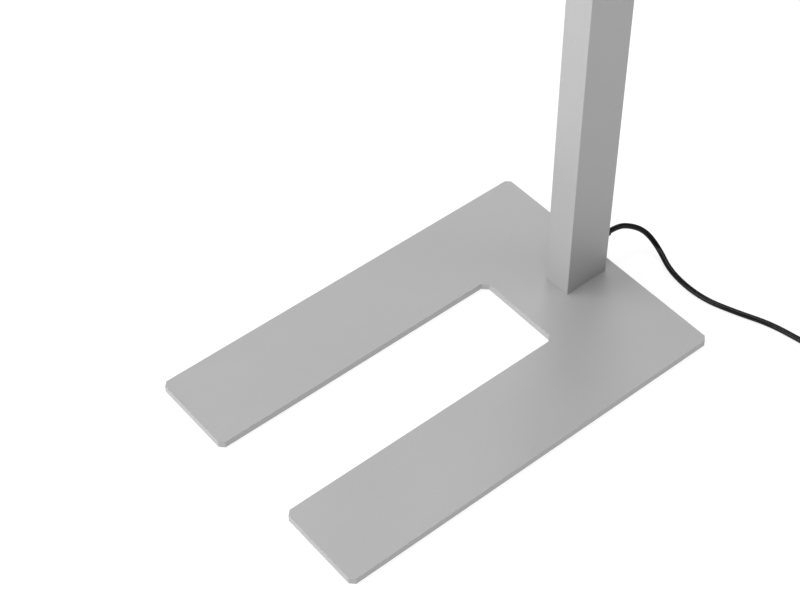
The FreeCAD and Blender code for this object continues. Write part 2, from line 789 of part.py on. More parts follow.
def make_tray():
    tray = head_slab(frame_wall + fit_gap, tray_bottom, tray_top)
    tools = [centred(inner_width, inner_depth, tray_bottom, tray_top)]
    tools += [rod((x, y, tray_bottom), (0, 0, 1), flange_screw_radius + pass_gap, tray_thickness)
              for x, y in flange_screw_places()]
    tools += [rod((x, y, tray_bottom), (0, 0, 1), tray_screw_radius + pass_gap, tray_thickness)
              for x, y in tray_screw_places()]
    tools += [rod((x, y, tray_bottom), (0, 0, 1), small_screw_radius + thread_gap, tray_thickness)
              for x, y in driver_screw_places()]
    write("gear_tray", [cut(tray, tools)])
    screws = [pan_screw((x, y, tray_top), (0, 0, -1), tray_screw_radius, small_head_radius,
                        small_head_height, tray_thickness + tray_screw_length - hole_end_gap)
              for x, y in tray_screw_places()]
    screws += [pan_screw((x, y, tray_top + driver_tab_thickness), (0, 0, -1), small_screw_radius,
                         small_head_radius, small_head_height, driver_tab_thickness + tray_thickness)
               for x, y in driver_screw_places()]
    write("gear_screws", screws)


def make_bracket():
    spigot = centred(inner_width - 2 * slip_gap, inner_depth - 2 * slip_gap, tray_bottom - spigot_length, tray_top)
    flange = slab(rectangle(-flange_width / 2, flange_width / 2, -flange_depth / 2, flange_depth / 2),
                  flange_corner, tray_top, flange_top)
    low = tray_bottom - spigot_length
    tools = [rod((0, 0, low), (0, 0, 1), lead_bore, flange_top - low),
             rod((signal_x, signal_y, low), (0, 0, 1), signal_bore, flange_top - low)]
    tools += [rod((x, y, tray_top), (0, 0, 1), flange_screw_radius + pass_gap, flange_thickness)
              for x, y in flange_screw_places()]
    level = tray_bottom - top_screw_drop
    tools += side_thread_holes(level)
    write("head_bracket", [cut(spigot.fuse(flange).removeSplitter(), tools)])
    backing = centred(flange_width, flange_depth, tray_bottom - backing_thickness, tray_bottom)
    tools = [centred(post_width + 2 * slip_gap, post_depth + 2 * slip_gap, tray_bottom - backing_thickness,
                     tray_bottom)]
    tools += [rod((x, y, tray_bottom), (0, 0, -1), flange_screw_radius + thread_gap, backing_thickness)
              for x, y in flange_screw_places()]
    write("backing_plate", [cut(backing, tools)])
    write("flange_screws", [pan_screw((x, y, flange_top), (0, 0, -1), flange_screw_radius, flange_screw_head,
                                      flange_head_height, flange_thickness + tray_thickness + backing_thickness)
                            for x, y in flange_screw_places()])


def board_span():
    """Front and back end of the light bay's LED boards."""
    return rail_front_y + board_margin, rail_back_y - board_margin


def board_set(count, pitch, z0, z1, led_z0, led_z1):
    """LED boards side by side and the LEDs on them."""
    front, back = board_span()
    boards = []
    leds = []
    for i in range(count):
        x = pitch * (i - (count - 1) / 2)
        boards.append(block(x - board_width / 2, x + board_width / 2, front, back, z0, z1))
        for j in range(leds_per_board):
            y = front + (back - front) * (j + 0.5) / leds_per_board
            leds.append(centred(led_size, led_size, led_z0, led_z1, x, y))
    return boards, leds


def make_lights():
    low = tray_bottom - board_thickness
    boards, leds = board_set(direct_boards, direct_pitch, low, tray_bottom, low - led_height, low)
    write("direct_led_boards", boards)
    high = tray_top + board_thickness
    boards, more_leds = board_set(indirect_boards, indirect_pitch, tray_top, high, high, high + led_height)
    write("indirect_led_boards", boards)
    write("leds", leds + more_leds)

    front, back = board_span()
    wall = head_width / 2 - frame_step - fit_gap
    edges = [-wall]
    for i in range(direct_boards):
        x = direct_pitch * (i - (direct_boards - 1) / 2)
        edges += [x - board_width / 2 - reflector_gap, x + board_width / 2 + reflector_gap]
    edges.append(wall)
    strips = [block(a, b, front, back, tray_bottom - reflector_thickness, tray_bottom)
              for a, b in zip(edges[0::2], edges[1::2])]
    write("reflector_strips", strips)


def make_underside():
    half = head_width / 2 - frame_step - fit_gap
    web = rail_web / 2 + fit_gap
    front_limit = head_front + frame_step + fit_gap
    back_limit = head_back - frame_step - fit_gap
    top = ledge_top + diffuser_thickness
    diffuser = slab(rectangle(-half, half, rail_front_y + web, rail_back_y - web), panel_corner, ledge_top, top)
    write("diffuser", [diffuser])
    film = slab(rectangle(-half, half, rail_front_y + web, rail_back_y - web), panel_corner,
                top, top + film_thickness)
    write("diffuser_film", [film])
    top = ledge_top + underside_thickness
    rear = slab(rectangle(-half, half, rail_back_y + web, back_limit), panel_corner, ledge_top, top)
    collar = centred(post_width + 2 * fit_gap, post_depth + 2 * fit_gap, ledge_top, top)
    write("rear_underside_cover", [rear.cut(collar)])
    strip = slab(rectangle(-half, half, front_limit, rail_front_y - web), panel_corner, ledge_top, top)
    y = sensor_y()
    strip = strip.cut(rod((0, y, ledge_top), (0, 0, 1), lens_radius + lens_gap, underside_thickness))
    write("front_underside_strip", [strip])


def sensor_y():
    """Middle of the sensor bay."""
    return (head_front + frame_step + rail_front_y) / 2


def make_sensor():
    y = sensor_y()
    seat = ledge_top + underside_thickness
    write("sensor_module", [centred(sensor_width, sensor_depth, seat, seat + sensor_height, 0, y)])
    collar = rod((0, y, seat), (0, 0, -1), lens_radius, lens_collar)
    dome = (lens_radius ** 2 + lens_cap ** 2) / (2 * lens_cap)
    ball = Part.makeSphere(dome, V(0, y, seat - lens_collar - lens_cap + dome))
    cap = ball.common(rod((0, y, seat - lens_collar), (0, 0, -1), lens_radius, lens_cap))
    write("sensor_lens", [collar.fuse(cap).removeSplitter()])


# ---- Gear in the head ---------------------------------------------------------------------------------
def driver_screw_places():
    reach = driver_length / 2 + driver_tab / 2
    return [(sx * driver_x, driver_y + sy * reach) for sx in (-1, 1) for sy in (-1, 1)]


def make_gear():
    for name, side in (("direct", 1), ("indirect", -1)):
        x = side * driver_x
        body = centred(driver_width, driver_length, tray_top, tray_top + driver_height, x, driver_y)
        body = soften(body, driver_edge_round, lambda edge: edge.BoundBox.ZLength > driver_height - 0.01)
        tabs = [centred(driver_width / 2, driver_length + 2 * driver_tab, tray_top,
                        tray_top + driver_tab_thickness, x, driver_y)]
        holes = [rod((x, y, tray_top), (0, 0, 1), small_screw_radius + pass_gap, driver_tab_thickness)
                 for sx, y in driver_screw_places() if sx * side > 0]
        write("driver_" + name, [cut(body.fuse(tabs).removeSplitter(), holes)])

    block_back = terminal_y + terminal_depth / 2
    entry = tray_top + core_entry
    terminal = centred(terminal_width, terminal_depth, tray_top, tray_top + terminal_height, 0, terminal_y)
    ports = [(terminal_pitch * (i - 1), block_back, entry) for i in range(3)]
    wells = [rod(port, (0, -1, 0), core_radius + bore_gap, terminal_well_depth) for port in ports]
    write("terminal_block", [cut(terminal, wells)])

    start = flange_top + sheath_stub
    cores = []
    for i, angle in enumerate((210, 90, 330)):
        x = core_spread * math.cos(math.radians(angle))
        y = core_spread * math.sin(math.radians(angle))
        rise = core_rise + (core_crossing if i == 1 else 0.0)
        port_x = ports[i][0]
        path, _ = rounded_path([(x, y, start), (x, y, start + rise), (port_x, block_back + core_straight, entry),
                                (port_x, block_back - core_grip, entry)])
        cores.append(tube(path, core_radius))

    leads = []
    for side in (-1, 1):
        level = entry + driver_lead_lift
        path, _ = rounded_path([(side * terminal_width / 2, terminal_y, level),
                                (side * driver_x / 2, terminal_y, level),
                                (side * driver_x, terminal_y - driver_lead_sweep, level),
                                (side * driver_x, driver_y - driver_length / 2, level)])
        leads.append(tube(path, driver_lead_radius))
    write("head_wiring", cores + leads)


def spacer_rows(bay_front, bay_back):
    return [(sx * spacer_x, y) for sx in (-1, 1) for y in (bay_front + spacer_inset, bay_back - spacer_inset)]


def make_top():
    side = frame_wall + fit_gap
    front = head_front + side
    back = head_back - side
    half = head_width / 2 - side
    corner = max(head_corner - side, panel_corner)
    split = rail_back_y
    cover = slab(rectangle(-half, half, split + fit_gap, back), corner, lamp_height - cover_thickness, lamp_height)
    window = slab(rectangle(-half, half, front, split - fit_gap), corner,
                  lamp_height - window_thickness, lamp_height)
    cover_places = spacer_rows(split, back)
    window_places = spacer_rows(front, split)
    vents = []
    for side_x in (-1, 1):
        for i in range(vent_count):
            y = driver_y + vent_pitch * (i - (vent_count - 1) / 2)
            x0 = side_x * vent_x - vent_length / 2
            vents.append(slab(rectangle(x0, x0 + vent_length, y - vent_width / 2, y + vent_width / 2),
                              vent_corner, lamp_height - cover_thickness, lamp_height))

    def sinks(places, depth):
        return [countersink((x, y, lamp_height), (0, 0, -1), small_screw_radius, small_head_radius, bore_gap, depth)
                for x, y in places]

    write("top_cover", [cut(cover, vents + sinks(cover_places, cover_thickness))])
    write("top_window", [cut(window, sinks(window_places, window_thickness))])
    spacers = []
    screws = []
    for places, thickness in ((cover_places, cover_thickness), (window_places, window_thickness)):
        top = lamp_height - thickness
        for x, y in places:
            pillar = rod((x, y, tray_top), (0, 0, 1), spacer_radius, top - tray_top)
            spacers.append(pillar.cut(rod((x, y, top), (0, 0, -1), small_screw_radius + thread_gap,
                                          cover_hole_depth)))
            screws.append(countersunk_screw((x, y, lamp_height), (0, 0, -1), small_screw_radius,
                                            small_head_radius, thickness + cover_screw_grip))
    write("cover_spacers", spacers)
    write("cover_screws", screws)


# ---- Free cord, coil, tie and plug ---------------------------------------------------------------------
def make_cord():
    path, radii = rounded_path(cord_route)
    cord = tube(path, cord_radius)
    check_tube("mains_cord", cord, path, cord_radius)
    print("mains_cord radii:", [round(radius, 1) for radius in radii])
    write("mains_cord", [cord])

    before, last = cord_route[-2:]
    heading = math.atan2(last[1] - before[1], last[0] - before[0])
    coil_line, centre, coil_end = coil_path(last, heading, last[2])
    coil = tube(coil_line, cord_radius)
    check_tube("cord_coil", coil, coil_line, cord_radius)
    print("cord_coil least gap to itself: %.2f mm" % least_self_gap(coil_line, cord_diameter))
    write("cord_coil", [coil])

    points = [coil_end]
    direction = heading
    climb = plug_disc_radius + plug_floor_gap - coil_end.z
    for run, change, share in end_runs:
        direction += math.radians(change)
        here = points[-1]
        points.append(V(here.x + run * math.cos(direction), here.y + run * math.sin(direction),
                        coil_end.z + climb * share))
    end_path, end_radii = rounded_path([(p.x, p.y, p.z) for p in points])
    print("cord_end radii:", [round(radius, 1) for radius in end_radii])
    end = tube(end_path, cord_radius)
    check_tube("cord_end", end, end_path, cord_radius)
    write("cord_end", [end])
    print("free cord length: %.1f mm" % (path.Length + coil_line.Length + end_path.Length))
    make_tie(centre, heading)
    make_plug(points[-1], points[-1] - points[-2])


def make_tie(centre, heading):
    """A flat strap round the bundle, on the side away from where the cord enters."""
    inner = coil_outer - coil_half_turns_in * coil_pitch / 2 - cord_radius - tie_side_gap
    outer = coil_outer + cord_radius + tie_side_gap
    low = tie_thickness
    high = centre.z + coil_pitch + cord_radius + tie_gap
    half = tie_width / 2
    ring = block(-half, half, inner - tie_thickness, outer + tie_thickness, 0.0, high + tie_thickness)
    ring = ring.cut(block(-half, half, inner, outer, low, high))
    ring.rotate(V(0, 0, 0), V(0, 0, 1), math.degrees(heading))
    ring.translate(V(centre.x, centre.y, 0))
    write("cord_tie", [ring])


def make_plug(tail, direction):
    """A moulded mains plug on its side: sleeve, grip and round front with two pins."""
    axis = unit(V(direction.x, direction.y, 0))
    x1 = plug_sleeve_length
    x2 = x1 + plug_grip_length
    x3 = x2 + plug_disc_length
    outline_points = [V(0, 0, 0), V(0, plug_tail_radius, 0), V(x1, plug_sleeve_radius, 0),
                      V(x1, plug_neck_radius, 0), V(x2 - plug_shoulder, plug_grip_radius, 0), V(x2, plug_disc_radius, 0),
                      V(x3, plug_disc_radius, 0), V(x3, 0, 0), V(0, 0, 0)]
    body = Part.Face(Part.makePolygon(outline_points)).revolve(V(0, 0, 0), V(1, 0, 0), 360)
    body = soften(body, plug_face_round,
                  lambda edge: abs(edge.BoundBox.XMin - x3) < 1e-4 and edge.BoundBox.YLength > plug_disc_radius)
    seat = x3 - plug_clip_length
    clips = []
    slots = []
    for side in (-1, 1):
        outer = side * (plug_disc_radius - plug_clip_sink)
        inner = outer - side * plug_clip_thickness
        low, high = sorted((inner, outer))
        clips.append(block(seat, x3 - plug_clip_setback, -plug_clip_width / 2, plug_clip_width / 2, low, high))
        low, high = sorted((inner, side * 2 * plug_disc_radius))
        half = plug_clip_width / 2 + plug_slot_gap
        slots.append(block(seat, x3 + plug_clip_sink, -half, half, low, high))
    body = cut(body, slots)
    pins = []
    for side in (-1, 1):
        pin = rod((x3, side * plug_pin_pitch / 2, 0), (1, 0, 0), plug_pin_radius, plug_pin_length)
        pins.append(soften(pin, plug_pin_round, lambda edge: abs(edge.BoundBox.XMin - x3 - plug_pin_length) < 1e-4))
    turn = math.degrees(math.atan2(axis.y, axis.x))
    for name, solids in (("plug_body", [body]), ("plug_contacts", pins + clips)):
        for solid in solids:
            solid.rotate(V(0, 0, 0), V(0, 0, 1), turn)
            solid.translate(tail)
        write(name, solids)


def main():
    os.makedirs("parts", exist_ok=True)
    make_base()
    make_foot_block()
    make_post()
    make_strain_relief()
    make_anchor()
    make_inner_lead()
    make_panel()
    make_frame()
    make_tray()
    make_bracket()
    make_lights()
    make_underside()
    make_sensor()
    make_gear()
    make_top()
    make_cord()


main()
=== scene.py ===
# %% [markdown]
# # An office floor lamp, dressed for its portrait
# A U-shaped steel plate slides under a desk, a rectangular post stands on its back bar, and a flat lamp
# head reaches over the desk top. The construction is already there as a fixed frame in metres, with the
# floor at z = 0, +X across the two prongs and the prongs towards -Y. This lesson adds what the frame
# can't have: the finish of every surface, the soft lead, and small moulded pieces with finer shapes.
# We start by loading the frame.

# %% Load the frame
import json
import math

import bpy
import numpy as np
from mathutils import Matrix, Vector


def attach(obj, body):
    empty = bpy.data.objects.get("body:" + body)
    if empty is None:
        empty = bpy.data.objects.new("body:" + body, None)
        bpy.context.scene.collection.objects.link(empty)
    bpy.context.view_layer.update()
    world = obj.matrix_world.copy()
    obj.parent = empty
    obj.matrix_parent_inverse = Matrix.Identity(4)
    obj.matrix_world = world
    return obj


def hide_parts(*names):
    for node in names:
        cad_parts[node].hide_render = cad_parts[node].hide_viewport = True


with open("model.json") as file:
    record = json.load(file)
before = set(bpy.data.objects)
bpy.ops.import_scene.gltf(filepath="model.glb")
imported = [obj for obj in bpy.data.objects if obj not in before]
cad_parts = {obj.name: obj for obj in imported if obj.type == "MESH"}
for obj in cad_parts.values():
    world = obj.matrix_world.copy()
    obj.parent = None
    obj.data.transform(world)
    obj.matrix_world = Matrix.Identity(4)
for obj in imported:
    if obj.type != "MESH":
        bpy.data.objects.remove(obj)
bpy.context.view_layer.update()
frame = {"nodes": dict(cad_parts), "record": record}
MM = 0.001                     # metres in a millimetre
for plain_finish in list(bpy.data.materials):
    bpy.data.materials.remove(plain_finish)          # each finish below gets the clean name

# %% [markdown]
# ## The camera
# The picture was taken from above, from the right and in front of the lamp, close enough for the post
# to lean outwards. A camera in Blender looks along its own -Z, so its turn is built from three unit
# vectors: to the right, up, and back towards the viewer. Azimuth goes round the lamp, elevation is the
# height above the horizon, and a small roll levels the picture the way the photographer held it.

# %% Camera
camera_place = Vector((1.17942, -1.25520, 1.81545))
camera_azimuth = math.radians(51.294)
camera_elevation = math.radians(47.370)
camera_roll = math.radians(-0.791)
camera_lens = 81.149           # mm, on a sensor 36 mm wide

sin_a, cos_a = math.sin(camera_azimuth), math.cos(camera_azimuth)
sin_e, cos_e = math.sin(camera_elevation), math.cos(camera_elevation)
level_right = Vector((cos_a, sin_a, 0))
level_up = Vector((-sin_a * sin_e, cos_a * sin_e, cos_e))
back = Vector((sin_a * cos_e, -cos_a * cos_e, sin_e))
right = level_right * math.cos(camera_roll) + level_up * math.sin(camera_roll)
turn = Matrix((right, back.cross(right), back)).transposed()

camera = bpy.data.objects.new("camera", bpy.data.cameras.new("camera"))
camera.data.lens = camera_lens
camera.data.sensor_width = 36.0
camera.matrix_world = Matrix.Translation(camera_place) @ turn.to_4x4()
bpy.context.scene.collection.objects.link(camera)
bpy.context.scene.camera = camera
print("camera looks along", [round(-c, 3) for c in back])

# %% [markdown]
# ## From a grid of points to a mesh
# Every new piece here is a surface worked out with numpy: rows of points that run round a section, one
# row after another along the piece. `surface` turns such a grid into an object. Neighbouring rows are
# joined by four-sided faces, and the two ends are closed by one flat face each. A closed surface has a
# volume, and its sign says whether the faces point outwards: if it is negative, we turn them all round.

# %% A surface from rows of points
def faces_of_grid(rows, columns):
    """Quads between neighbouring rows of rings: corner (i, j) is point i * columns + j, j wraps round."""
    i, j = np.meshgrid(np.arange(rows - 1), np.arange(columns), indexing="ij")
    ahead = (j + 1) % columns
    return np.stack([i * columns + j, i * columns + ahead, (i + 1) * columns + ahead, (i + 1) * columns + j],
                    axis=-1).reshape(-1, 4)


def enclosed_volume(points, faces):
    """Sum over the faces of the tetrahedra that they span with the origin, each face as a fan."""
    total = 0.0
    for face in faces:
        fan = points[np.asarray(face)]
        total += np.einsum("ij,ij->", np.cross(fan[1:-1], fan[2:]), np.broadcast_to(fan[0], fan[1:-1].shape))
    return total / 6


def surface(name, grids, smooth=True, uv=None):
    """One object from (rows, columns, 3) grids of rings, each grid closed by a flat face at both ends."""
    points, faces, start = [], [], 0
    for grid in grids:
        rows, columns = grid.shape[:2]
        own = [face.tolist() for face in faces_of_grid(rows, columns)]
        own.append(list(range(columns))[::-1])
        own.append(list(range((rows - 1) * columns, rows * columns)))
        flat = grid.reshape(-1, 3)
        if enclosed_volume(flat, own) < 0:
            own = [face[::-1] for face in own]
        faces += [[corner + start for corner in face] for face in own]
        points.append(flat)
        start += len(flat)
    mesh = bpy.data.meshes.new(name)
    mesh.from_pydata(np.concatenate(points).tolist(), [], faces)
    mesh.polygons.foreach_set("use_smooth", [smooth and len(face) == 4 for face in faces])
    if uv is not None:
        corners = np.concatenate([np.asarray(face) for face in faces])
        mesh.uv_layers.new(name="UVMap").data.foreach_set("uv", uv.reshape(-1, 2)[corners].ravel())
    piece = bpy.data.objects.new(name, mesh)
    bpy.context.scene.collection.objects.link(piece)
    print("%s: %d points, %d faces" % (name, len(mesh.vertices), len(mesh.polygons)))
    return piece


# %% [markdown]
# ## A spun profile and a rounded outline
# Turned and moulded pieces are a profile spun round an axis. A strap follows an outline with rounded
# corners instead, which is worked out corner by corner: the arc's centre lies on the corner's bisector,
# and its points turn steadily from one side's normal to the other's.

# %% Spun profiles and rounded outlines
steep = 0.9                    # an axis whose z is over this takes y instead of z as its reference


def spun(profile, start, axis, columns, radius_share=None):
    """Rings of a profile of (distance along the axis, radius) pairs, in mm, spun about axis from start.

    Point = start + axis * a + r * (cos(t) * u + sin(t) * v), where u and v are square to the axis.
    radius_share(a, t) may change the radius by a factor round the ring."""
    axis = np.array(Vector(axis).normalized())
    v = np.array((0.0, 0.0, 1.0)) if abs(axis[2]) < steep else np.array((0.0, 1.0, 0.0))
    u = np.cross(v, axis)
    u /= np.linalg.norm(u)
    v = np.cross(axis, u)
    profile = np.asarray(profile, float)
    t = np.linspace(0, 2 * np.pi, columns, endpoint=False)
    a = profile[:, 0][:, None] + 0 * t
    r = profile[:, 1][:, None] * np.ones_like(t)
    if radius_share:
        r = r * radius_share(a, t[None, :])
    ring = np.cos(t)[None, :, None] * u + np.sin(t)[None, :, None] * v
    return np.array(start) + (a[..., None] * axis + r[..., None] * ring) * MM


def rounded_outline(corners, radii, steps):
    """Points round a polygon whose square corners are arcs.

    Point = centre + side * r * (cos(q) * n1 + sin(q) * n2), q from 0 to 90 degrees, where n1 and n2 are the
    normals of the two sides, and side is -1 at a corner that turns inwards."""
    corners = np.asarray(corners, float)
    loop = []
    for before, corner, after, radius in zip(np.roll(corners, 1, 0), corners, np.roll(corners, -1, 0), radii):
        u = (corner - before) / np.linalg.norm(corner - before)
        v = (after - corner) / np.linalg.norm(after - corner)
        side = np.sign(u[0] * v[1] - u[1] * v[0])
        centre = corner - (u - v) * radius
        share = np.linspace(0, np.pi / 2, steps)[:, None]
        loop.append(centre + side * radius * (np.cos(share) * np.array((u[1], -u[0]))
                                              + np.sin(share) * np.array((v[1], -v[0]))))
    return np.concatenate(loop)


# %% [markdown]
# ## The mains lead
# The lead is 8 mm thick and about 2.85 m long. It leaves the back of the post straight, bends down
# under its own weight and runs off along the floor; the length that isn't needed is wound into a neat
# coil of two layers, tied, with the plug beside it. A NURBS curve is the natural tool: it keeps one
# smooth line through few points, and a bevel gives it its thickness. The points on the way to the coil
# are listed; the coil's turns are worked out further on.

# %% The lead's route
cord_radius = 4.0
cord_exit = (0.0, 58.0, 56.0)
cord_route = [
    cord_exit,
    (0.0, 70.0, 56.0),
    (3.5, 88.5, 52.5),
    (16.5, 113.0, 37.5),
    (40.0, 120.0, 16.0),
    (78.5, 107.5, 4.0),
    (138.0, 105.0, 4.0),
    (186.5, 122.5, 4.0),
    (230.5, 142.5, 4.0),
    (277.0, 152.0, 4.0),
    (320.0, 159.5, 4.75),
    (342.4, 164.9, 4.75),
]
coil_outer = 64.0
coil_pitch = 8.5
points_per_turn = 16
half_turns_in = 8
half_turns_out = 7

up = np.array((0, 0, 1))
ground = np.array((1, 1, 0))   # times a place gives the point of the floor under it
last, before = np.array(cord_route[-1]), np.array(cord_route[-2])
lower_layer = last[2]
upper_layer = lower_layer + coil_pitch
ahead = (last - before) * ground / np.linalg.norm((last - before)[:2])
left = np.array((-ahead[1], ahead[0], 0))
entry = last + ahead * 2 * cord_radius
coil_middle = (entry + left * coil_outer) * ground
print("coil: middle at", np.round(coil_middle[:2], 1), "mm, layers at", lower_layer, "and", upper_layer)

# %% [markdown]
# ## The coil's turns
# A lead wound by hand is a spiral. Half circles are the simplest way to draw one: each is half a pitch
# smaller than the one before, and its centre shifts by as much, so that they join without a kink. On the
# way out, in the upper layer, each is half a pitch larger again. The half turn between the layers climbs
# along a cosine, which starts and ends level. All points come from one array of angles.

# %% Half circles, inwards and out again
step = coil_pitch / 2
half_turns = half_turns_in + 1 + half_turns_out
theta = np.arange(0, half_turns * points_per_turn // 2 + 1) * 2 * np.pi / points_per_turn
rounding_guard = 1e-9          # keeps a full half turn from being counted as the one before
k = np.minimum((theta / np.pi + rounding_guard).astype(int), half_turns - 1)
outwards = np.maximum(k - half_turns_in, 0)
going_in = k < half_turns_in
turn_radius = np.where(going_in, coil_outer - k * step, coil_outer - half_turns_in * step + outwards * step)
shift = np.where(going_in, -step * (k % 2), step * (outwards % 2))
climb = np.clip(theta / np.pi - half_turns_in, 0, 1)
level = lower_layer + coil_pitch * (1 - np.cos(climb * np.pi)) / 2
spread = 1 / math.cos(math.pi / points_per_turn)     # the curve runs this much inside its points
coil_points = (coil_middle - left * (shift + turn_radius * spread * np.cos(theta))[:, None]
               + ahead * (turn_radius * spread * np.sin(theta))[:, None] + up * level[:, None])
print("coil:", half_turns, "half turns, innermost radius", turn_radius.min(), "mm")

# %% [markdown]
# ## From the coil to the plug
# The end of the lead leaves the upper layer straight on, turns a little to the left and rises to the
# height of the plug's axis. Four short runs say this, each with its length, its change of bearing and the
# height of its end. Then everything goes into one spline, so that the lead has no joints.

# %% From the coil to the plug
plug_level = 18.7
end_runs = [                   # length, change of bearing in degrees, height of its end
    (8.0, 0.0, upper_layer),
    (20.0, 0.0, upper_layer),
    (26.0, 9.0, plug_level),
    (18.0, 7.0, plug_level),
]
here = coil_middle - left * coil_outer
bearing = math.atan2(ahead[1], ahead[0])
end_points = []
for run, change, height in end_runs:
    bearing += math.radians(change)
    here = here + run * np.array((math.cos(bearing), math.sin(bearing), 0))
    end_points.append((here[0], here[1], height))

# %% One curve through all points
curve = bpy.data.curves.new("flexible_lead", "CURVE")
curve.dimensions = "3D"
spline = curve.splines.new("NURBS")
route = np.array(cord_route + coil_points.tolist() + end_points)
spline.points.add(len(route) - 1)
spline.points.foreach_set("co", np.column_stack([route * MM, np.ones(len(route))]).ravel())
spline.order_u = 3
spline.use_endpoint_u = True
spline.resolution_u = 6
curve.bevel_depth = cord_radius * MM
curve.bevel_resolution = 7
curve.use_fill_caps = True
flexible_lead = bpy.data.objects.new("flexible_lead", curve)
bpy.context.scene.collection.objects.link(flexible_lead)
print("lead:", len(route), "points")

# %% [markdown]
# ## The strap round the coil
# The put-away length is held by a woven hook-and-loop strap. It is one long flat ribbon: it runs round
# the bundle on a rounded rectangle and then lies over its own start, so its path is that rectangle,
# followed for a bit more than one round, and lifted by the ribbon's thickness where it overlaps. The
# section is a thin rectangle with softened sides. The ribbon also carries a UV map in millimetres,
# along and across it, because a weave has to follow the ribbon and not the room.

# %% Strap
strap_width = 10.0
strap_thickness = 0.6
strap_corner = 3.6
corner_steps = 7               # points on each rounded corner
strap_step = 1.0               # between points along the strap
strap_overlap = 34.0
strap_side_gap = 0.9
strap_top_gap = 0.45
lap_gap = 0.1                  # between the strap's end and its start
lift_run = 5.0                 # length over which the end climbs onto the start
bundle_inner = coil_outer - half_turns_in * step - cord_radius - strap_side_gap
bundle_outer = coil_outer + cord_radius + strap_side_gap
bundle_top = upper_layer + cord_radius + strap_top_gap
strap_low = strap_thickness / 2

loop = rounded_outline([(bundle_inner, strap_low), (bundle_outer, strap_low), (bundle_outer, bundle_top),
                        (bundle_inner, bundle_top)], [strap_corner] * 4, corner_steps)
loop = np.roll(loop, -3 * corner_steps, axis=0)     # start on the top, at its inner corner
loop = np.concatenate([loop, loop[:1]])
lengths = np.concatenate([[0], np.cumsum(np.linalg.norm(np.diff(loop, axis=0), axis=1))])
round_length = lengths[-1]
along = np.arange(0, round_length + strap_overlap, strap_step)
across_y = np.interp(along % round_length, lengths, loop[:, 0])
across_z = np.interp(along % round_length, lengths, loop[:, 1])
lift = np.clip((along - round_length + lift_run) / lift_run, 0, 1)
across_z = across_z + lift * (strap_thickness + lap_gap)
tangent = np.stack([np.gradient(across_y), np.gradient(across_z)], axis=1)
tangent /= np.linalg.norm(tangent, axis=1)[:, None]
normal = np.stack([tangent[:, 1], -tangent[:, 0]], axis=1)

# %% The strap's section carried along its path
# A rectangle with its corners taken off, in shares of the width and of the thickness.
rim = np.array([(-0.5, -0.3), (-0.46, -0.5), (0.46, -0.5), (0.5, -0.3),
                (0.5, 0.3), (0.46, 0.5), (-0.46, 0.5), (-0.5, 0.3)])
width_side = rim[:, 0] * strap_width
thick_side = rim[:, 1] * strap_thickness
ring_y = across_y[:, None] + normal[:, 0][:, None] * thick_side
ring_z = across_z[:, None] + normal[:, 1][:, None] * thick_side
strap_grid = (coil_middle + ahead * width_side[None, :, None] + left * ring_y[..., None]
              + up * ring_z[..., None]) * MM
strap_uv = np.stack(np.broadcast_arrays(along[:, None], width_side[None, :]), axis=-1)
strap = surface("coil_strap", [strap_grid], uv=strap_uv)

# %% [markdown]
# ## The plug
# A mains plug is moulded round the end of the lead in the same soft black compound. We spin a profile:
# a tapered sleeve with flexing grooves, a waist to grip, and a round front. Two things aren't round, so
# the radius is also changed round the ring: ridges for the fingers on the grip, and a flat channel at
# the top and the bottom of the front, where the earth springs lie.

# %% Plug body
plug_axis = np.array((math.cos(bearing), math.sin(bearing), 0))
sleeve_length = 20.0
sleeve_radius = 5.4            # at the lead's end
sleeve_flare = 1.2             # wider at the grip's end
groove_pitch = 3.4
groove_depth = 0.75
groove_stretch, groove_cut = 2.0, 0.9                # of the wave, before it's cut off at 0 and 1
plain_tail = 2.0               # without grooves, at the lead's end
plain_root = 1.5               # without grooves, at the grip's end
grip_end = 38.0
waist_radius = 7.4
grip_swell = 6.4
grip_curve = 0.9               # under 1 the grip widens sooner near the sleeve
shoulder = 0.72                # share of the grip where it starts to meet the front
front_end = 57.0
front_radius = 18.5
front_edge = 1.4
face_ring = 4.0                # last ring inside the face's rim
sleeve_rows, grip_rows, front_rows, edge_rows = 48, 26, 16, 6

s_sleeve = np.linspace(0, sleeve_length, sleeve_rows)
# A wave that is stretched and then cut off at 0 and 1 gives grooves with a flat floor and plain lands.
groove_wave = np.cos(2 * np.pi * (s_sleeve - groove_pitch / 2) / groove_pitch)
groove = np.clip(groove_wave * groove_stretch - groove_cut, 0, 1)
grooved = (s_sleeve > plain_tail) & (s_sleeve < sleeve_length - plain_root)
r_sleeve = sleeve_radius + sleeve_flare * s_sleeve / sleeve_length - groove_depth * groove * grooved
s_grip = np.linspace(0, 1, grip_rows)
front_step = front_radius - waist_radius - grip_swell     # what the grip's swell leaves to the shoulder
r_grip = (waist_radius + grip_swell * s_grip ** grip_curve
          + front_step * np.clip((s_grip - shoulder) / (1 - shoulder), 0, 1) ** 2)
s_front = np.linspace(grip_end, front_end - front_edge, front_rows)[1:]
bead = np.linspace(0, np.pi / 2, edge_rows)[1:]
s_edge = front_end - front_edge + front_edge * np.sin(bead)
r_edge = front_radius - front_edge + front_edge * np.cos(bead)
plug_profile = np.concatenate([
    np.stack([s_sleeve, r_sleeve], 1),
    np.stack([sleeve_length + s_grip * (grip_end - sleeve_length), r_grip], 1),
    np.stack([s_front, np.full(len(s_front), front_radius)], 1),
    np.stack([s_edge, r_edge], 1),
    [(front_end, front_radius - face_ring)],
])

# %% Ridges and channels
ridge_count = 18
ridge_share = 0.035            # of the radius
ridge_margin = 1.0
ridge_fade = 3.0
ridge_reach = 0.8              # no ridges where the sine of the angle is over this
channel_depth = 2.1
channel_half_width = 2.6
channel_length = 14.2


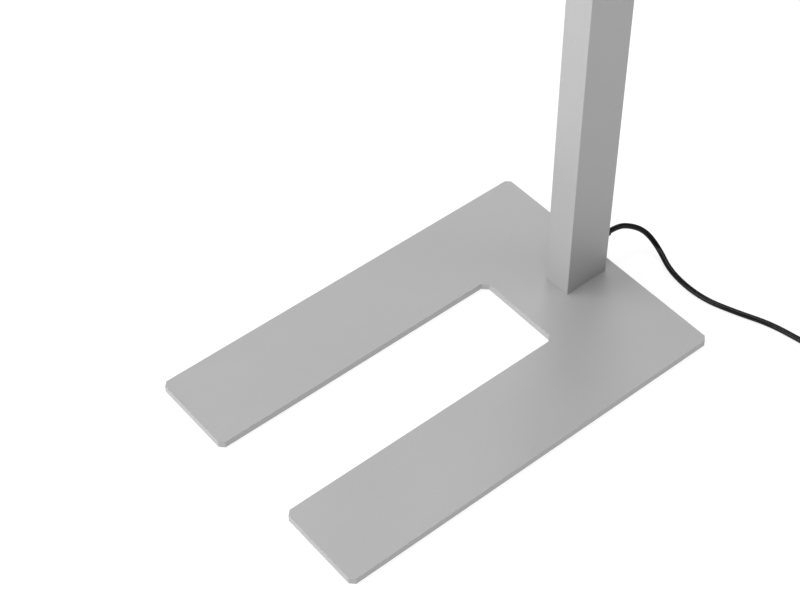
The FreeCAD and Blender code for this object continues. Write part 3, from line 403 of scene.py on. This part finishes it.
def plug_share(a, t):
    """1 minus a cosine wave round the grip, and one step down in the two channels of the front."""
    on_grip = (np.clip((a - sleeve_length - ridge_margin) / ridge_fade, 0, 1)
               * np.clip((grip_end - ridge_margin - a) / ridge_fade, 0, 1))
    wave = (0.5 + 0.5 * np.cos(ridge_count * t)) * (np.abs(np.sin(t)) < ridge_reach)
    in_channel = (np.abs(np.cos(t)) < channel_half_width / front_radius) & (a > front_end - channel_length)
    return (1 - ridge_share * on_grip * wave) * np.where(in_channel, 1 - channel_depth / front_radius, 1)


plug_tail = np.array(end_points[-1])
plug_rings = spun(plug_profile, plug_tail * MM, plug_axis, columns=144, radius_share=plug_share)
plug_moulding = surface("plug_moulding", [plug_rings])

# %% [markdown]
# ## The strain relief
# Where the lead leaves the post, a tapered sleeve keeps it from kinking. Real ones are cut by rings of
# slots that let them flex, which we draw as a wave in the profile between the collar and the tip.

# %% Strain relief
post_back = 36.0
relief_tip = 58.0
collar_thickness = 3.0
collar_radius = 9.0
collar_edge = 0.8
relief_radius = 6.9
relief_taper = 1.5
relief_in_wall = 2.4           # how far it reaches into the post's wall
slot_count = 5
slot_depth = 0.8
slots_end = 0.93               # share of the taper
slot_stretch, slot_cut = 2.2, 0.9                    # of the wave, before it's cut off at 0 and 1
relief_gap = 0.05              # round the lead at the tip
taper_rows, collar_rows = 60, 7

s_taper = np.linspace(0, 1, taper_rows)
taper_length = relief_tip - post_back - collar_thickness
# The same cut-off wave as on the plug's sleeve, slot_count times along the taper.
slot_wave = np.cos(2 * np.pi * (s_taper * slot_count + 0.5))
slots = np.clip(slot_wave * slot_stretch - slot_cut, 0, 1) * (s_taper < slots_end)
r_taper = relief_radius - relief_taper * s_taper - slot_depth * slots
bead = np.linspace(0, np.pi / 2, collar_rows)[1:]
s_collar = collar_thickness - collar_edge + collar_edge * np.sin(bead)
r_collar = collar_radius - collar_edge + collar_edge * np.cos(bead)
relief_profile = np.concatenate([
    [(-relief_in_wall, relief_radius), (0.0, relief_radius), (0.0, collar_radius - collar_edge / 2),
     (0.0, collar_radius), (collar_thickness - collar_edge, collar_radius)],
    np.stack([s_collar, r_collar], 1),
    [(collar_thickness, relief_radius + collar_edge / 2)],
    np.stack([collar_thickness + taper_length * s_taper, r_taper], 1),
    [(relief_tip - post_back, cord_radius + relief_gap)],
])
relief_start = np.array((0, post_back, cord_exit[2])) * MM
relief_sleeve = surface("relief_sleeve", [spun(relief_profile, relief_start, (0, 1, 0), columns=56)])

# %% [markdown]
# ## Screw heads
# The post and the top of the lamp head are held by countersunk screws with hexagon sockets. One screw
# is again rows of rings: the socket's floor and wall follow a hexagon, whose radius in polar form is
# its half width divided by cos of the angle from the nearest flat, and the cone and shank are round.

# %% Countersunk socket screws
mouth_depth, mouth_width = 0.05, 0.06                # chamfer of the socket's mouth
rim_width, rim_depth, rim_inset = 0.15, 0.12, 0.02   # softened rim of the head
socket_share = 0.9             # the socket's depth, of the shank's radius
floor_share = 0.05             # first ring of the socket's floor, of its half width
end_share = 0.3                # last ring of the shank's end, of its radius


def socket_screw(point, direction, head, shank, length, flats):
    """Rings from the bottom of the socket over the head's face and cone to the end of the shank, in mm.

    head and shank are radii; flats is the hexagon's width across its flats."""
    half = flats / 2
    socket_depth = shank * socket_share
    socket = [(socket_depth, half * floor_share), (socket_depth, half), (mouth_depth, half),
              (0.0, half + mouth_width)]
    outside = [(0.0, head - rim_width), (rim_depth, head - rim_inset), (head - shank, shank), (length, shank),
               (length, shank * end_share)]
    profile = np.array(socket + outside)
    in_socket = np.arange(len(profile)) < len(socket)

    def hexagon(a, t):
        """1 / cos of the angle from the nearest flat on the socket's rings, and 1 on all others."""
        near = (t + np.pi / 6) % (np.pi / 3) - np.pi / 6
        return np.where(in_socket[:, None], 1 / np.cos(near), 1.0)

    return spun(profile, np.array(point) * MM, direction, columns=36, radius_share=hexagon)


# %% Screws of the post and of the top
plate_top = 12.0
tray_bottom = 1928.0
head_top = 1950.0
post_screw_x = 10.0
post_screw_rise = 22.0         # the lower pair above the plate
post_screw_drop = 25.0         # the upper pair under the tray
post_screw_levels = (plate_top + post_screw_rise, tray_bottom - post_screw_drop)
post_screws = surface("post_socket_screws", [
    socket_screw((x, post_back, z), (0, -1, 0), head=4.6, shank=2.5, length=15.0, flats=3.0)
    for z in post_screw_levels for x in (-post_screw_x, post_screw_x)])

spacer_x = 132.0
cover_screw_grip = 7.0         # of the screw inside its spacer
cover_screw_rows = {2.0: (-60.75, 36.45), 3.0: (-567.95, -90.75)}     # sheet thickness: screws' y
cover_screws = surface("top_socket_screws", [
    socket_screw((x, y, head_top), (0, 0, -1), head=2.8, shank=1.5, length=thickness + cover_screw_grip,
                 flats=2.0)
    for thickness, rows in cover_screw_rows.items() for y in rows for x in (-spacer_x, spacer_x)])

# %% [markdown]
# ## Marks on the keys
# The four keys carry plain marks that any such panel has: a power ring with its bar, a plus, a minus,
# and a small sun for the automatic mode. Each mark is a thin slip of paint. A stroke is a ribbon along
# a line, as rows of small rectangles across it, so the same `surface` makes them all. A mark rides on
# its key's body, so that it goes in with the key.

# %% Strokes, arcs and bars
mark_thickness = 0.08
mark_stroke = 0.62             # width of every line
key_face = -38.2
key_levels = {"power": 1111.5, "brighter": 1090.5, "dimmer": 1069.5, "automatic": 1048.5}


def stroke(line, y, z):
    """A ribbon along a line of (x, z) points in a key's face.

    Point = line + normal * side in the face, and y + depth in front of it."""
    line = np.asarray(line, float)
    tangent = np.gradient(line, axis=0)
    tangent /= np.linalg.norm(tangent, axis=1)[:, None]
    normal = np.stack([-tangent[:, 1], tangent[:, 0]], 1)
    side = np.array((-0.5, 0.5, 0.5, -0.5)) * mark_stroke
    depth = np.array((0.0, 0.0, -1.0, -1.0)) * mark_thickness
    flat = line[:, None, :] + normal[:, None, :] * side[None, :, None]
    return np.stack([flat[..., 0], y + np.broadcast_to(depth, flat.shape[:2]), z + flat[..., 1]], -1) * MM


def arc(radius, start, end, count=33):
    """Points of an arc about the origin, angles in degrees from +z towards +x."""
    t = np.radians(np.linspace(start, end, count))
    return np.stack([radius * np.sin(t), radius * np.cos(t)], 1)


def bar(x0, z0, x1, z1):
    """A straight line as its two ends and the middle."""
    return np.array([(x0, z0), ((x0 + x1) / 2, (z0 + z1) / 2), (x1, z1)])


# %% The four marks
mark_reach = 4.0               # of the power bar and the sun's rays
ring_radius, ring_gap = 2.8, 38                      # power ring, and half its opening in degrees
power_bar_low = 1.2
sign_reach = 3.2               # of the plus and the minus
half_stroke = mark_stroke / 2
sun_radius, sun_end, sun_points = 1.7, 356, 49       # its ring stops just short of closing
ray_start = 2.7

directions = [(math.sin(a), math.cos(a)) for a in np.radians(np.arange(0, 360, 45))]
rays = [bar(ray_start * x, ray_start * z, mark_reach * x, mark_reach * z) for x, z in directions]
drawings = {
    "power": [arc(ring_radius, ring_gap, 360 - ring_gap), bar(0, power_bar_low, 0, mark_reach)],
    "brighter": [bar(-sign_reach, 0, sign_reach, 0), bar(0, half_stroke, 0, sign_reach),
                 bar(0, -sign_reach, 0, -half_stroke)],
    "dimmer": [bar(-sign_reach, 0, sign_reach, 0)],
    "automatic": [arc(sun_radius, 0, sun_end, sun_points)] + rays,
}
marks = {}
for key, lines in drawings.items():
    grids = [stroke(line, key_face, key_levels[key]) for line in lines]
    marks[key] = surface("mark_" + key, grids, smooth=False)

# %% [markdown]
# ## Building a finish from nodes
# A finish is a small graph: the piece's own coordinates in metres feed a few noises, the noises shift
# colour, roughness and the surface's slope a little, and all of it ends in one shader. Small helpers keep
# each recipe short. `add` makes a node and sets or links its inputs by name. `finish` starts a material
# with the constants that the shader itself takes, such as metallic or coat, and `connect` gives it what
# changes over the surface. The others each make one noise, ramp, range or slope.

# %% Nodes and new materials
def add(material, kind, output=0, **inputs):
    """A node whose inputs are numbers, colours or other nodes' outputs; gives one output back."""
    tree = material.node_tree
    node = tree.nodes.new("ShaderNode" + kind)
    for name, value in inputs.items():
        socket = node.inputs[name.replace("_", " ")]
        if isinstance(value, bpy.types.NodeSocket):
            tree.links.new(value, socket)
        else:
            socket.default_value = value
    return node.outputs[output]


def finish(name, **constants):
    """A new material with its shader's constants, and the piece's Object coordinates."""
    material = bpy.data.materials.new(name)
    material.use_nodes = True
    shader = material.node_tree.nodes["Principled BSDF"]
    for socket, value in constants.items():
        shader.inputs[socket.replace("_", " ")].default_value = value
    return material, shader, add(material, "TexCoord", "Object")


def connect(material, shader, **links):
    """Links each named input of the shader to a node's output."""
    for name, output in links.items():
        material.node_tree.links.new(output, shader.inputs[name.replace("_", " ")])


# %% Noise, ramps and slopes
noise_low, noise_high = 0.3, 0.7                     # most of a noise lies between these


def noise(material, where, scale, detail=2.0, roughness=0.5):
    """A cloudy number from 0 to 1; scale is in clouds per metre, detail in finer layers on top."""
    return add(material, "TexNoise", Vector=where, Scale=scale, Detail=detail, Roughness=roughness)


def blend_colours(material, share, low, high, start=noise_low, end=noise_high):
    """A ramp from one colour to another as share goes from start to end."""
    tree = material.node_tree
    ramp = tree.nodes.new("ShaderNodeValToRGB")
    ramp.color_ramp.elements[0].position, ramp.color_ramp.elements[1].position = start, end
    ramp.color_ramp.elements[0].color = (*low, 1)
    ramp.color_ramp.elements[1].color = (*high, 1)
    tree.links.new(share, ramp.inputs[0])
    return ramp.outputs[0]


def vary(material, share, low, high):
    """A number that goes from low to high as share goes over the range of a noise."""
    return add(material, "MapRange", Value=share, From_Min=noise_low, From_Max=noise_high, To_Min=low,
               To_Max=high)


def bump(material, height, depth, strength=1.0, under=None):
    """A slope map from a height; depth is how many metres a height of 1 stands up."""
    extra = {"Normal": under} if under is not None else {}
    return add(material, "Bump", Strength=strength, Distance=depth, Height=height, **extra)


def grey(level, warmth=0.0):
    """A neutral colour, a touch warmer or cooler."""
    return (level * (1 + warmth), level, level * (1 - warmth))


# %% [markdown]
# ## Silver powder coat
# Steel and aluminium of the lamp wear the same coat: aluminium-coloured powder, baked to a skin that is
# almost smooth but never glossy. Close up it has a fine orange-peel, a grain of bright and dull
# flakes, and here and there a slightly duller patch where hands and cloths have been. It is a paint
# with metal in it, so the shader is a mix: mostly diffuse, part metallic, fairly rough.

# %% Powder coat
def powder_coat(name, tone):
    """Colour = flakes' grey times a broad cloud; slope = orange-peel on top of the flakes' grain."""
    material, shader, here = finish(name, Metallic=0.25, Specular_IOR_Level=0.4)
    flakes = noise(material, here, scale=2600.0, detail=1.0)
    peel = noise(material, here, scale=620.0, detail=3.0)
    cloud = noise(material, here, scale=7.0, detail=3.0)
    fine = blend_colours(material, flakes, grey(tone * 0.93), grey(tone * 1.07), start=0.35, end=0.65)
    broad = blend_colours(material, cloud, grey(0.975), grey(1.0), start=0.35, end=0.65)
    colour = add(material, "VectorMath")
    mixer = colour.node
    mixer.operation = "MULTIPLY"
    material.node_tree.links.new(fine, mixer.inputs[0])
    material.node_tree.links.new(broad, mixer.inputs[1])
    grain = bump(material, flakes, depth=0.00004, strength=0.5)
    connect(material, shader, Base_Color=colour, Roughness=vary(material, cloud, 0.50, 0.56),
            Normal=bump(material, peel, depth=0.00008, strength=0.6, under=grain))
    return material


silver_tone = 0.43
coat = powder_coat("silver_powder_coat", silver_tone)
post_coat = powder_coat("post_coat", silver_tone)
head_coat = powder_coat("head_coat", silver_tone)
print("coats:", coat.name, post_coat.name, head_coat.name)

# %% [markdown]
# ## Moulded and flexible plastics
# A moulded part repeats the texture of its tool: a fine, even stipple that breaks up the highlight. The
# lead and plug are a softer compound, with a satin skin in very shallow waves and some dust. All blacks
# are really dark greys; a true black would lose its form.

# %% Plastics
def moulded(name, tone, roughness, stipple=900.0, depth=0.00006):
    """An even stipple changes roughness and slope; a broad cloud changes the grey by a tenth."""
    material, shader, here = finish(name, Specular_IOR_Level=0.45)
    texture = noise(material, here, stipple)
    cloud = noise(material, here, scale=25.0, detail=3.0)
    connect(material, shader, Base_Color=blend_colours(material, cloud, grey(tone * 0.9), grey(tone * 1.1)),
            Roughness=vary(material, texture, roughness - 0.05, roughness + 0.06),
            Normal=bump(material, texture, depth, strength=0.8))
    return material


def soft_compound(name, tone, roughness):
    """Dust pales the colour and dulls the skin in places; the skin's own waves are very shallow."""
    material, shader, here = finish(name, Specular_IOR_Level=0.2)
    skin = noise(material, here, scale=340.0, detail=3.0, roughness=0.6)
    dust = noise(material, here, scale=60.0, detail=4.0, roughness=0.65)
    clean, dusty = grey(tone * 0.8), grey(tone * 1.5, warmth=0.02)
    connect(material, shader, Base_Color=blend_colours(material, dust, clean, dusty, start=0.4, end=0.75),
            Roughness=vary(material, dust, roughness, roughness + 0.12),
            Normal=bump(material, skin, depth=0.00003, strength=0.7))
    return material


lead_compound = soft_compound("black_pvc", tone=0.0045, roughness=0.2)
black_plastic = moulded("black_plastic", tone=0.021, roughness=0.46)
key_plastic = moulded("key_grey", tone=0.30, roughness=0.42, stipple=1300.0, depth=0.00003)
wire_plastic = moulded("wire_insulation", tone=0.10, roughness=0.4)
case_plastic = moulded("driver_case", tone=0.78, roughness=0.45)
film_plastic = moulded("white_film", tone=0.85, roughness=0.6)
mark_paint = moulded("mark_paint", tone=0.80, roughness=0.5, stipple=2000.0, depth=0.00001)
print("plastics:", ", ".join(m.name for m in (lead_compound, black_plastic, key_plastic, wire_plastic,
                                              case_plastic, film_plastic, mark_paint)))

# %% [markdown]
# ## Felt, foam and woven strap
# Felt is a tangle of short fibres: a very fine, rough noise gives the nap, wider tufts change its tone,
# and sheen gives its pale rim. Foam is a field of cells, which a Voronoi texture draws as they are. The
# strap is woven: its pattern follows the ribbon's own UV map, as two crossed waves, warp and weft, and
# its colour follows the weave's height as painted shade, darker where the threads dip.

# %% Fibrous finishes
def felt(name, tone):
    """Fibres give roughness and slope, and wider tufts the colour."""
    material, shader, here = finish(name, Sheen_Weight=0.35, Sheen_Roughness=0.5)
    fibres = noise(material, here, scale=1500.0, detail=5.0, roughness=0.7)
    tufts = noise(material, here, scale=180.0, detail=3.0)
    connect(material, shader, Base_Color=blend_colours(material, tufts, grey(tone * 0.6), grey(tone * 1.5)),
            Roughness=vary(material, fibres, 0.85, 0.98),
            Normal=bump(material, fibres, depth=0.0004, strength=0.9))
    return material


def foam(name, tone):
    """The distance to the nearest cell's middle darkens, dulls and raises the walls between the cells."""
    material, shader, here = finish(name)
    cells = add(material, "TexVoronoi", "Distance", Vector=here, Scale=1400.0)
    pale, dark = grey(tone * 1.4), grey(tone * 0.4)
    connect(material, shader, Base_Color=blend_colours(material, cells, pale, dark, start=0.1, end=0.8),
            Roughness=vary(material, cells, 0.8, 0.95), Normal=bump(material, cells, depth=0.0004))
    return material


# %% Woven strap
def woven(name, tone, thread):
    """Warp and weft: one wave along the ribbon times one across it, thread mm apart; the colour follows this
    height as painted shade.
    """
    material, shader, _ = finish(name, Sheen_Weight=0.25, Sheen_Roughness=0.45)
    split = add(material, "SeparateXYZ", Vector=add(material, "TexCoord", "UV")).node
    waves = []
    for axis in (0, 1):
        turns = add(material, "Math")
        turns.node.operation = "MULTIPLY"
        material.node_tree.links.new(split.outputs[axis], turns.node.inputs[0])
        turns.node.inputs[1].default_value = math.pi / thread
        wave = add(material, "Math")
        wave.node.operation = "SINE"
        material.node_tree.links.new(turns, wave.node.inputs[0])
        waves.append(wave)
    cross = add(material, "Math")
    cross.node.operation = "MULTIPLY"
    for socket, wave in zip(cross.node.inputs, waves):
        material.node_tree.links.new(wave, socket)
    height = add(material, "MapRange", Value=cross, From_Min=-1.0, From_Max=1.0)
    # Painted shade: the weave's low points get the dark colour, its raised threads the pale one.
    low, high = grey(tone * 0.5), grey(tone * 1.6)
    connect(material, shader, Base_Color=blend_colours(material, height, low, high, start=0.2, end=0.9),
            Roughness=vary(material, height, 0.75, 0.9), Normal=bump(material, height, depth=0.0003))
    return material


underlay_felt = felt("underlay_felt", tone=0.03)
grey_foam = foam("grey_foam", tone=0.08)
strap_weave = woven("tie_fabric", tone=0.025, thread=0.9)
print("fibrous:", underlay_felt.name, grey_foam.name, strap_weave.name)

# %% [markdown]
# ## Bare metals
# Machined aluminium keeps fine tool lines, zinc plating is bright with a faint bloom, and galvanised
# sheet shows its spangle of zinc crystals. Nickel on the pins is the smoothest, with hairline scratches.

# %% Metals
def metal(name, colour, roughness, lines=(1.0, 1.0, 1.0), scale=600.0):
    """lines stretches the noise along an axis: a small value draws it out into streaks that way."""
    material, shader, here = finish(name, Metallic=1.0)
    stretched = add(material, "Mapping", Vector=here, Scale=lines)
    streaks = noise(material, stretched, scale, detail=3.0)
    bloom = noise(material, here, scale=40.0, detail=3.0)
    dull = tuple(c * 0.86 for c in colour)
    connect(material, shader, Base_Color=blend_colours(material, bloom, dull, colour),
            Roughness=vary(material, streaks, roughness * 0.8, roughness * 1.25),
            Normal=bump(material, streaks, depth=0.00002, strength=0.8))
    return material


def galvanised(name, colour):
    """Each cell of the pattern has one number of its own, which sets its colour and roughness."""
    material, shader, here = finish(name, Metallic=1.0)
    crystals = add(material, "TexVoronoi", "Color", Vector=here, Scale=110.0)
    share = add(material, "SeparateXYZ", "X", Vector=crystals)
    frost = noise(material, here, scale=900.0, detail=3.0)
    dull = tuple(c * 0.8 for c in colour)
    connect(material, shader, Base_Color=blend_colours(material, share, dull, colour, start=0.0, end=1.0),
            Roughness=vary(material, share, 0.32, 0.5),
            Normal=bump(material, frost, depth=0.00003, strength=0.7))
    return material


zinc = metal("zinc_steel", (0.60, 0.60, 0.57), roughness=0.28)
machined = metal("raw_aluminium", (0.70, 0.71, 0.72), roughness=0.3, lines=(1.0, 1.0, 0.04))
nickel = metal("contact_metal", (0.72, 0.71, 0.68), roughness=0.16, lines=(1.0, 1.0, 0.1), scale=500.0)
sheet_zinc = galvanised("galvanised_sheet", (0.62, 0.64, 0.65))
print("metals:", zinc.name, machined.name, nickel.name, sheet_zinc.name)

# %% [markdown]
# ## The light's own parts
# The lens panel under the head is acrylic with a field of tiny prisms that spread the light: a Voronoi
# of even cells gives the relief. The window on top is clear and only lightly frosted, so the boards can
# be seen through it. Boards are enamelled, with tracks that stand up by a hair, and every emitter lies
# under a drop of yellow silicone.

# %% Clear and frosted acrylic
def prisms(name, tone, cell, transmission):
    """An even field of cells, cell metres apart, whose distance to the middle is the relief."""
    material, shader, here = finish(name, IOR=1.49, Transmission_Weight=transmission, Coat_Weight=0.2)
    facets = add(material, "TexVoronoi", "Distance", Vector=here, Scale=1 / cell, Randomness=0.0)
    haze = noise(material, here, scale=30.0)
    connect(material, shader, Base_Color=blend_colours(material, haze, grey(tone * 0.97), grey(tone)),
            Roughness=vary(material, haze, 0.28, 0.36),
            Normal=bump(material, facets, depth=cell * 0.5, strength=0.6))
    return material


def frosted(name, tone, roughness, transmission):
    """A fine frost changes roughness and slope, a broad cloud the tone by a few hundredths."""
    material, shader, here = finish(name, IOR=1.49, Transmission_Weight=transmission, Specular_IOR_Level=0.3)
    frost = noise(material, here, scale=1200.0)
    cloud = noise(material, here, scale=12.0)
    connect(material, shader, Base_Color=blend_colours(material, cloud, grey(tone * 0.97), grey(tone)),
            Roughness=vary(material, frost, roughness, roughness + 0.08),
            Normal=bump(material, frost, depth=0.00002, strength=0.4))
    return material


panel_lens = prisms("diffuser_acrylic", tone=0.90, cell=0.0016, transmission=0.35)
sensor_lens = prisms("lens", tone=0.88, cell=0.0012, transmission=0.3)
top_window = frosted("window_acrylic", tone=0.72, roughness=0.17, transmission=0.88)
indicator = frosted("indicator", tone=0.85, roughness=0.12, transmission=0.7)
print("optics:", panel_lens.name, sensor_lens.name, top_window.name, indicator.name)

# %% Boards and emitters
def circuit(name, mask, track, scale):
    """Solder mask over copper tracks: a brick pattern stands for the tracks' raised lines."""
    material, shader, here = finish(name, Coat_Weight=0.3, Coat_Roughness=0.2)
    tracks = add(material, "TexBrick", "Fac", Vector=here, Scale=scale, Mortar_Size=0.03, Mortar_Smooth=0.4)
    grain = noise(material, here, scale=500.0)
    connect(material, shader, Base_Color=blend_colours(material, tracks, mask, track, start=0.2, end=0.8),
            Roughness=vary(material, grain, 0.3, 0.42),
            Normal=bump(material, tracks, depth=0.00006, strength=0.8))
    return material


def phosphor(name):
    """Two yellows and the slope follow one very fine noise, as of a powder under a clear coat."""
    material, shader, here = finish(name, Coat_Weight=0.6, Coat_Roughness=0.08)
    powder = noise(material, here, scale=3000.0)
    deep, pale = (0.78, 0.55, 0.10), (0.92, 0.74, 0.22)
    connect(material, shader, Base_Color=blend_colours(material, powder, deep, pale),
            Roughness=vary(material, powder, 0.35, 0.5),
            Normal=bump(material, powder, depth=0.00004, strength=0.6))
    return material


green_board = circuit("circuit_board", mask=(0.012, 0.10, 0.035), track=(0.03, 0.17, 0.06), scale=300.0)
white_board = circuit("led_board", mask=grey(0.80), track=grey(0.70), scale=160.0)
yellow_silicone = phosphor("led_phosphor")
print("boards:", green_board.name, white_board.name, yellow_silicone.name)

# %% [markdown]
# ## Dressing the frame
# Every piece of the frame says which finish it wears, by a name in the frame's record. The materials carry
# the same names, so they are gathered by name once and handed out in one loop.

# %% Give every node of the frame its finish
finishes = {material.name: material for material in (
    coat, post_coat, head_coat, underlay_felt, zinc, machined, sheet_zinc, film_plastic, lead_compound,
    black_plastic, grey_foam, key_plastic, indicator, green_board, white_board, yellow_silicone, panel_lens,
    top_window, case_plastic, sensor_lens, nickel, wire_plastic, strap_weave)}
for part in frame["record"]["subparts"]:
    node = frame["nodes"][part["node"]]
    node.data.materials.clear()
    node.data.materials.append(finishes[part["material_slot"]])

# %% [markdown]
# ## Who rides on what
# The new pieces take their finish, stand in for their plain solids and ride on the body they belong to.

# %% Riding and replacing
for piece, slot, replaced in (
        (flexible_lead, "black_pvc", ("mains_cord", "cord_coil", "cord_end")),
        (strap, "tie_fabric", ("cord_tie",)),
        (plug_moulding, "black_pvc", ("plug_body",)),
        (relief_sleeve, "black_plastic", ("strain_relief",)),
        (post_screws, "zinc_steel", ("post_screws",)),
        (cover_screws, "zinc_steel", ("cover_screws",))):
    piece.data.materials.append(finishes[slot])
    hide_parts(*replaced)
    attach(piece, "root")
for key, mark in marks.items():
    mark.data.materials.append(mark_paint)
    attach(mark, "button_" + key)

# %% [markdown]
# ## The floor
# The lamp stands on a lit table, as small objects do in a studio: the floor glows white by itself and
# has only a dim colour of its own, so hardly any shadow falls on it, and its light reaches the lower
# faces from below. It lies a hair under the lamp, so that the two surfaces never share a place.

# %% Floor
floor_mesh = bpy.data.meshes.new("floor")
reach = 30.0
floor_level = -0.0003
floor_grey = 0.25
floor_glow = 0.82
outline = [(-reach, -reach), (reach, -reach), (reach, reach), (-reach, reach)]
floor_mesh.from_pydata([(x, y, floor_level) for x, y in outline], [], [(0, 1, 2, 3)])
floor = bpy.data.objects.new("floor", floor_mesh)
bpy.context.scene.collection.objects.link(floor)
floor_finish, _, _ = finish("lit_table", Base_Color=(*grey(floor_grey), 1), Roughness=0.8,
                            Specular_IOR_Level=0.0, Emission_Color=(1, 1, 1, 1), Emission_Strength=floor_glow)
floor_mesh.materials.append(floor_finish)
print("floor:", 2 * reach, "m wide")

# %% [markdown]
# ## Soft lights
# Broad lights do the rest: a large panel over the lamp, one in front and one in front to the left, which
# light the faces that look forwards, and weaker ones from behind. The right side gets the least, so the
# right-hand faces stay the darkest. How strong each one is was worked out by rendering one light at a
# time: what a surface sends back is the sum of what each light alone would make it send.

# %% Lights
def panel(name, place, aim, size, power):
    """A square area light at a place, facing a point."""
    light = bpy.data.lights.new(name, "AREA")
    light.shape = "SQUARE"
    light.size = size
    light.energy = power
    lamp = bpy.data.objects.new(name, light)
    away = Vector(place) - Vector(aim)
    lamp.matrix_world = Matrix.Translation(Vector(place)) @ away.to_track_quat("Z", "Y").to_matrix().to_4x4()
    bpy.context.scene.collection.objects.link(lamp)
    print(name + ":", size, "m,", power, "W")


panel("sky_panel", (0.0, -0.6, 9.2), (0, -0.2, 0), size=6.0, power=588.0)
panel("front_left_panel", (-2.6, -3.4, 2.2), (0, -0.2, 0.4), size=2.4, power=90.0)
panel("front_panel", (-0.5, -4.4, 2.0), (0, -0.2, 0.4), size=2.0, power=84.0)
panel("back_left_panel", (-3.2, 3.0, 2.6), (0, -0.2, 0.2), size=2.4, power=46.0)
panel("right_back_panel", (3.2, 2.6, 2.2), (0, 0, 0.5), size=2.0, power=14.0)

# %% [markdown]
# ## The walls of the studio
# A ray that meets nothing ends in the world, which stands for the studio's walls. They are as pale as the
# floor at the horizon, so that the floor has no visible end, and much dimmer higher up, so that most of
# the light from above comes from the panels. A smooth step over the height of the direction does both:
# its z is 0 at the horizon and 1 straight up.

# %% Walls
horizon_glow = 0.84
upper_glow = 0.10
upper_start = 0.30             # z of the direction where the dim part begins
world = bpy.data.worlds.new("studio")
world.use_nodes = True
background = world.node_tree.nodes["Background"]
background.inputs["Color"].default_value = (1, 1, 1, 1)
direction = add(world, "SeparateXYZ", "Z", Vector=add(world, "TexCoord", "Generated"))
glow = add(world, "MapRange", Value=direction, From_Min=0.0, From_Max=upper_start, To_Min=horizon_glow,
           To_Max=upper_glow)
glow.node.interpolation_type = "SMOOTHSTEP"
world.node_tree.links.new(glow, background.inputs["Strength"])
bpy.context.scene.world = world
bpy.context.scene.view_settings.view_transform = "Standard"
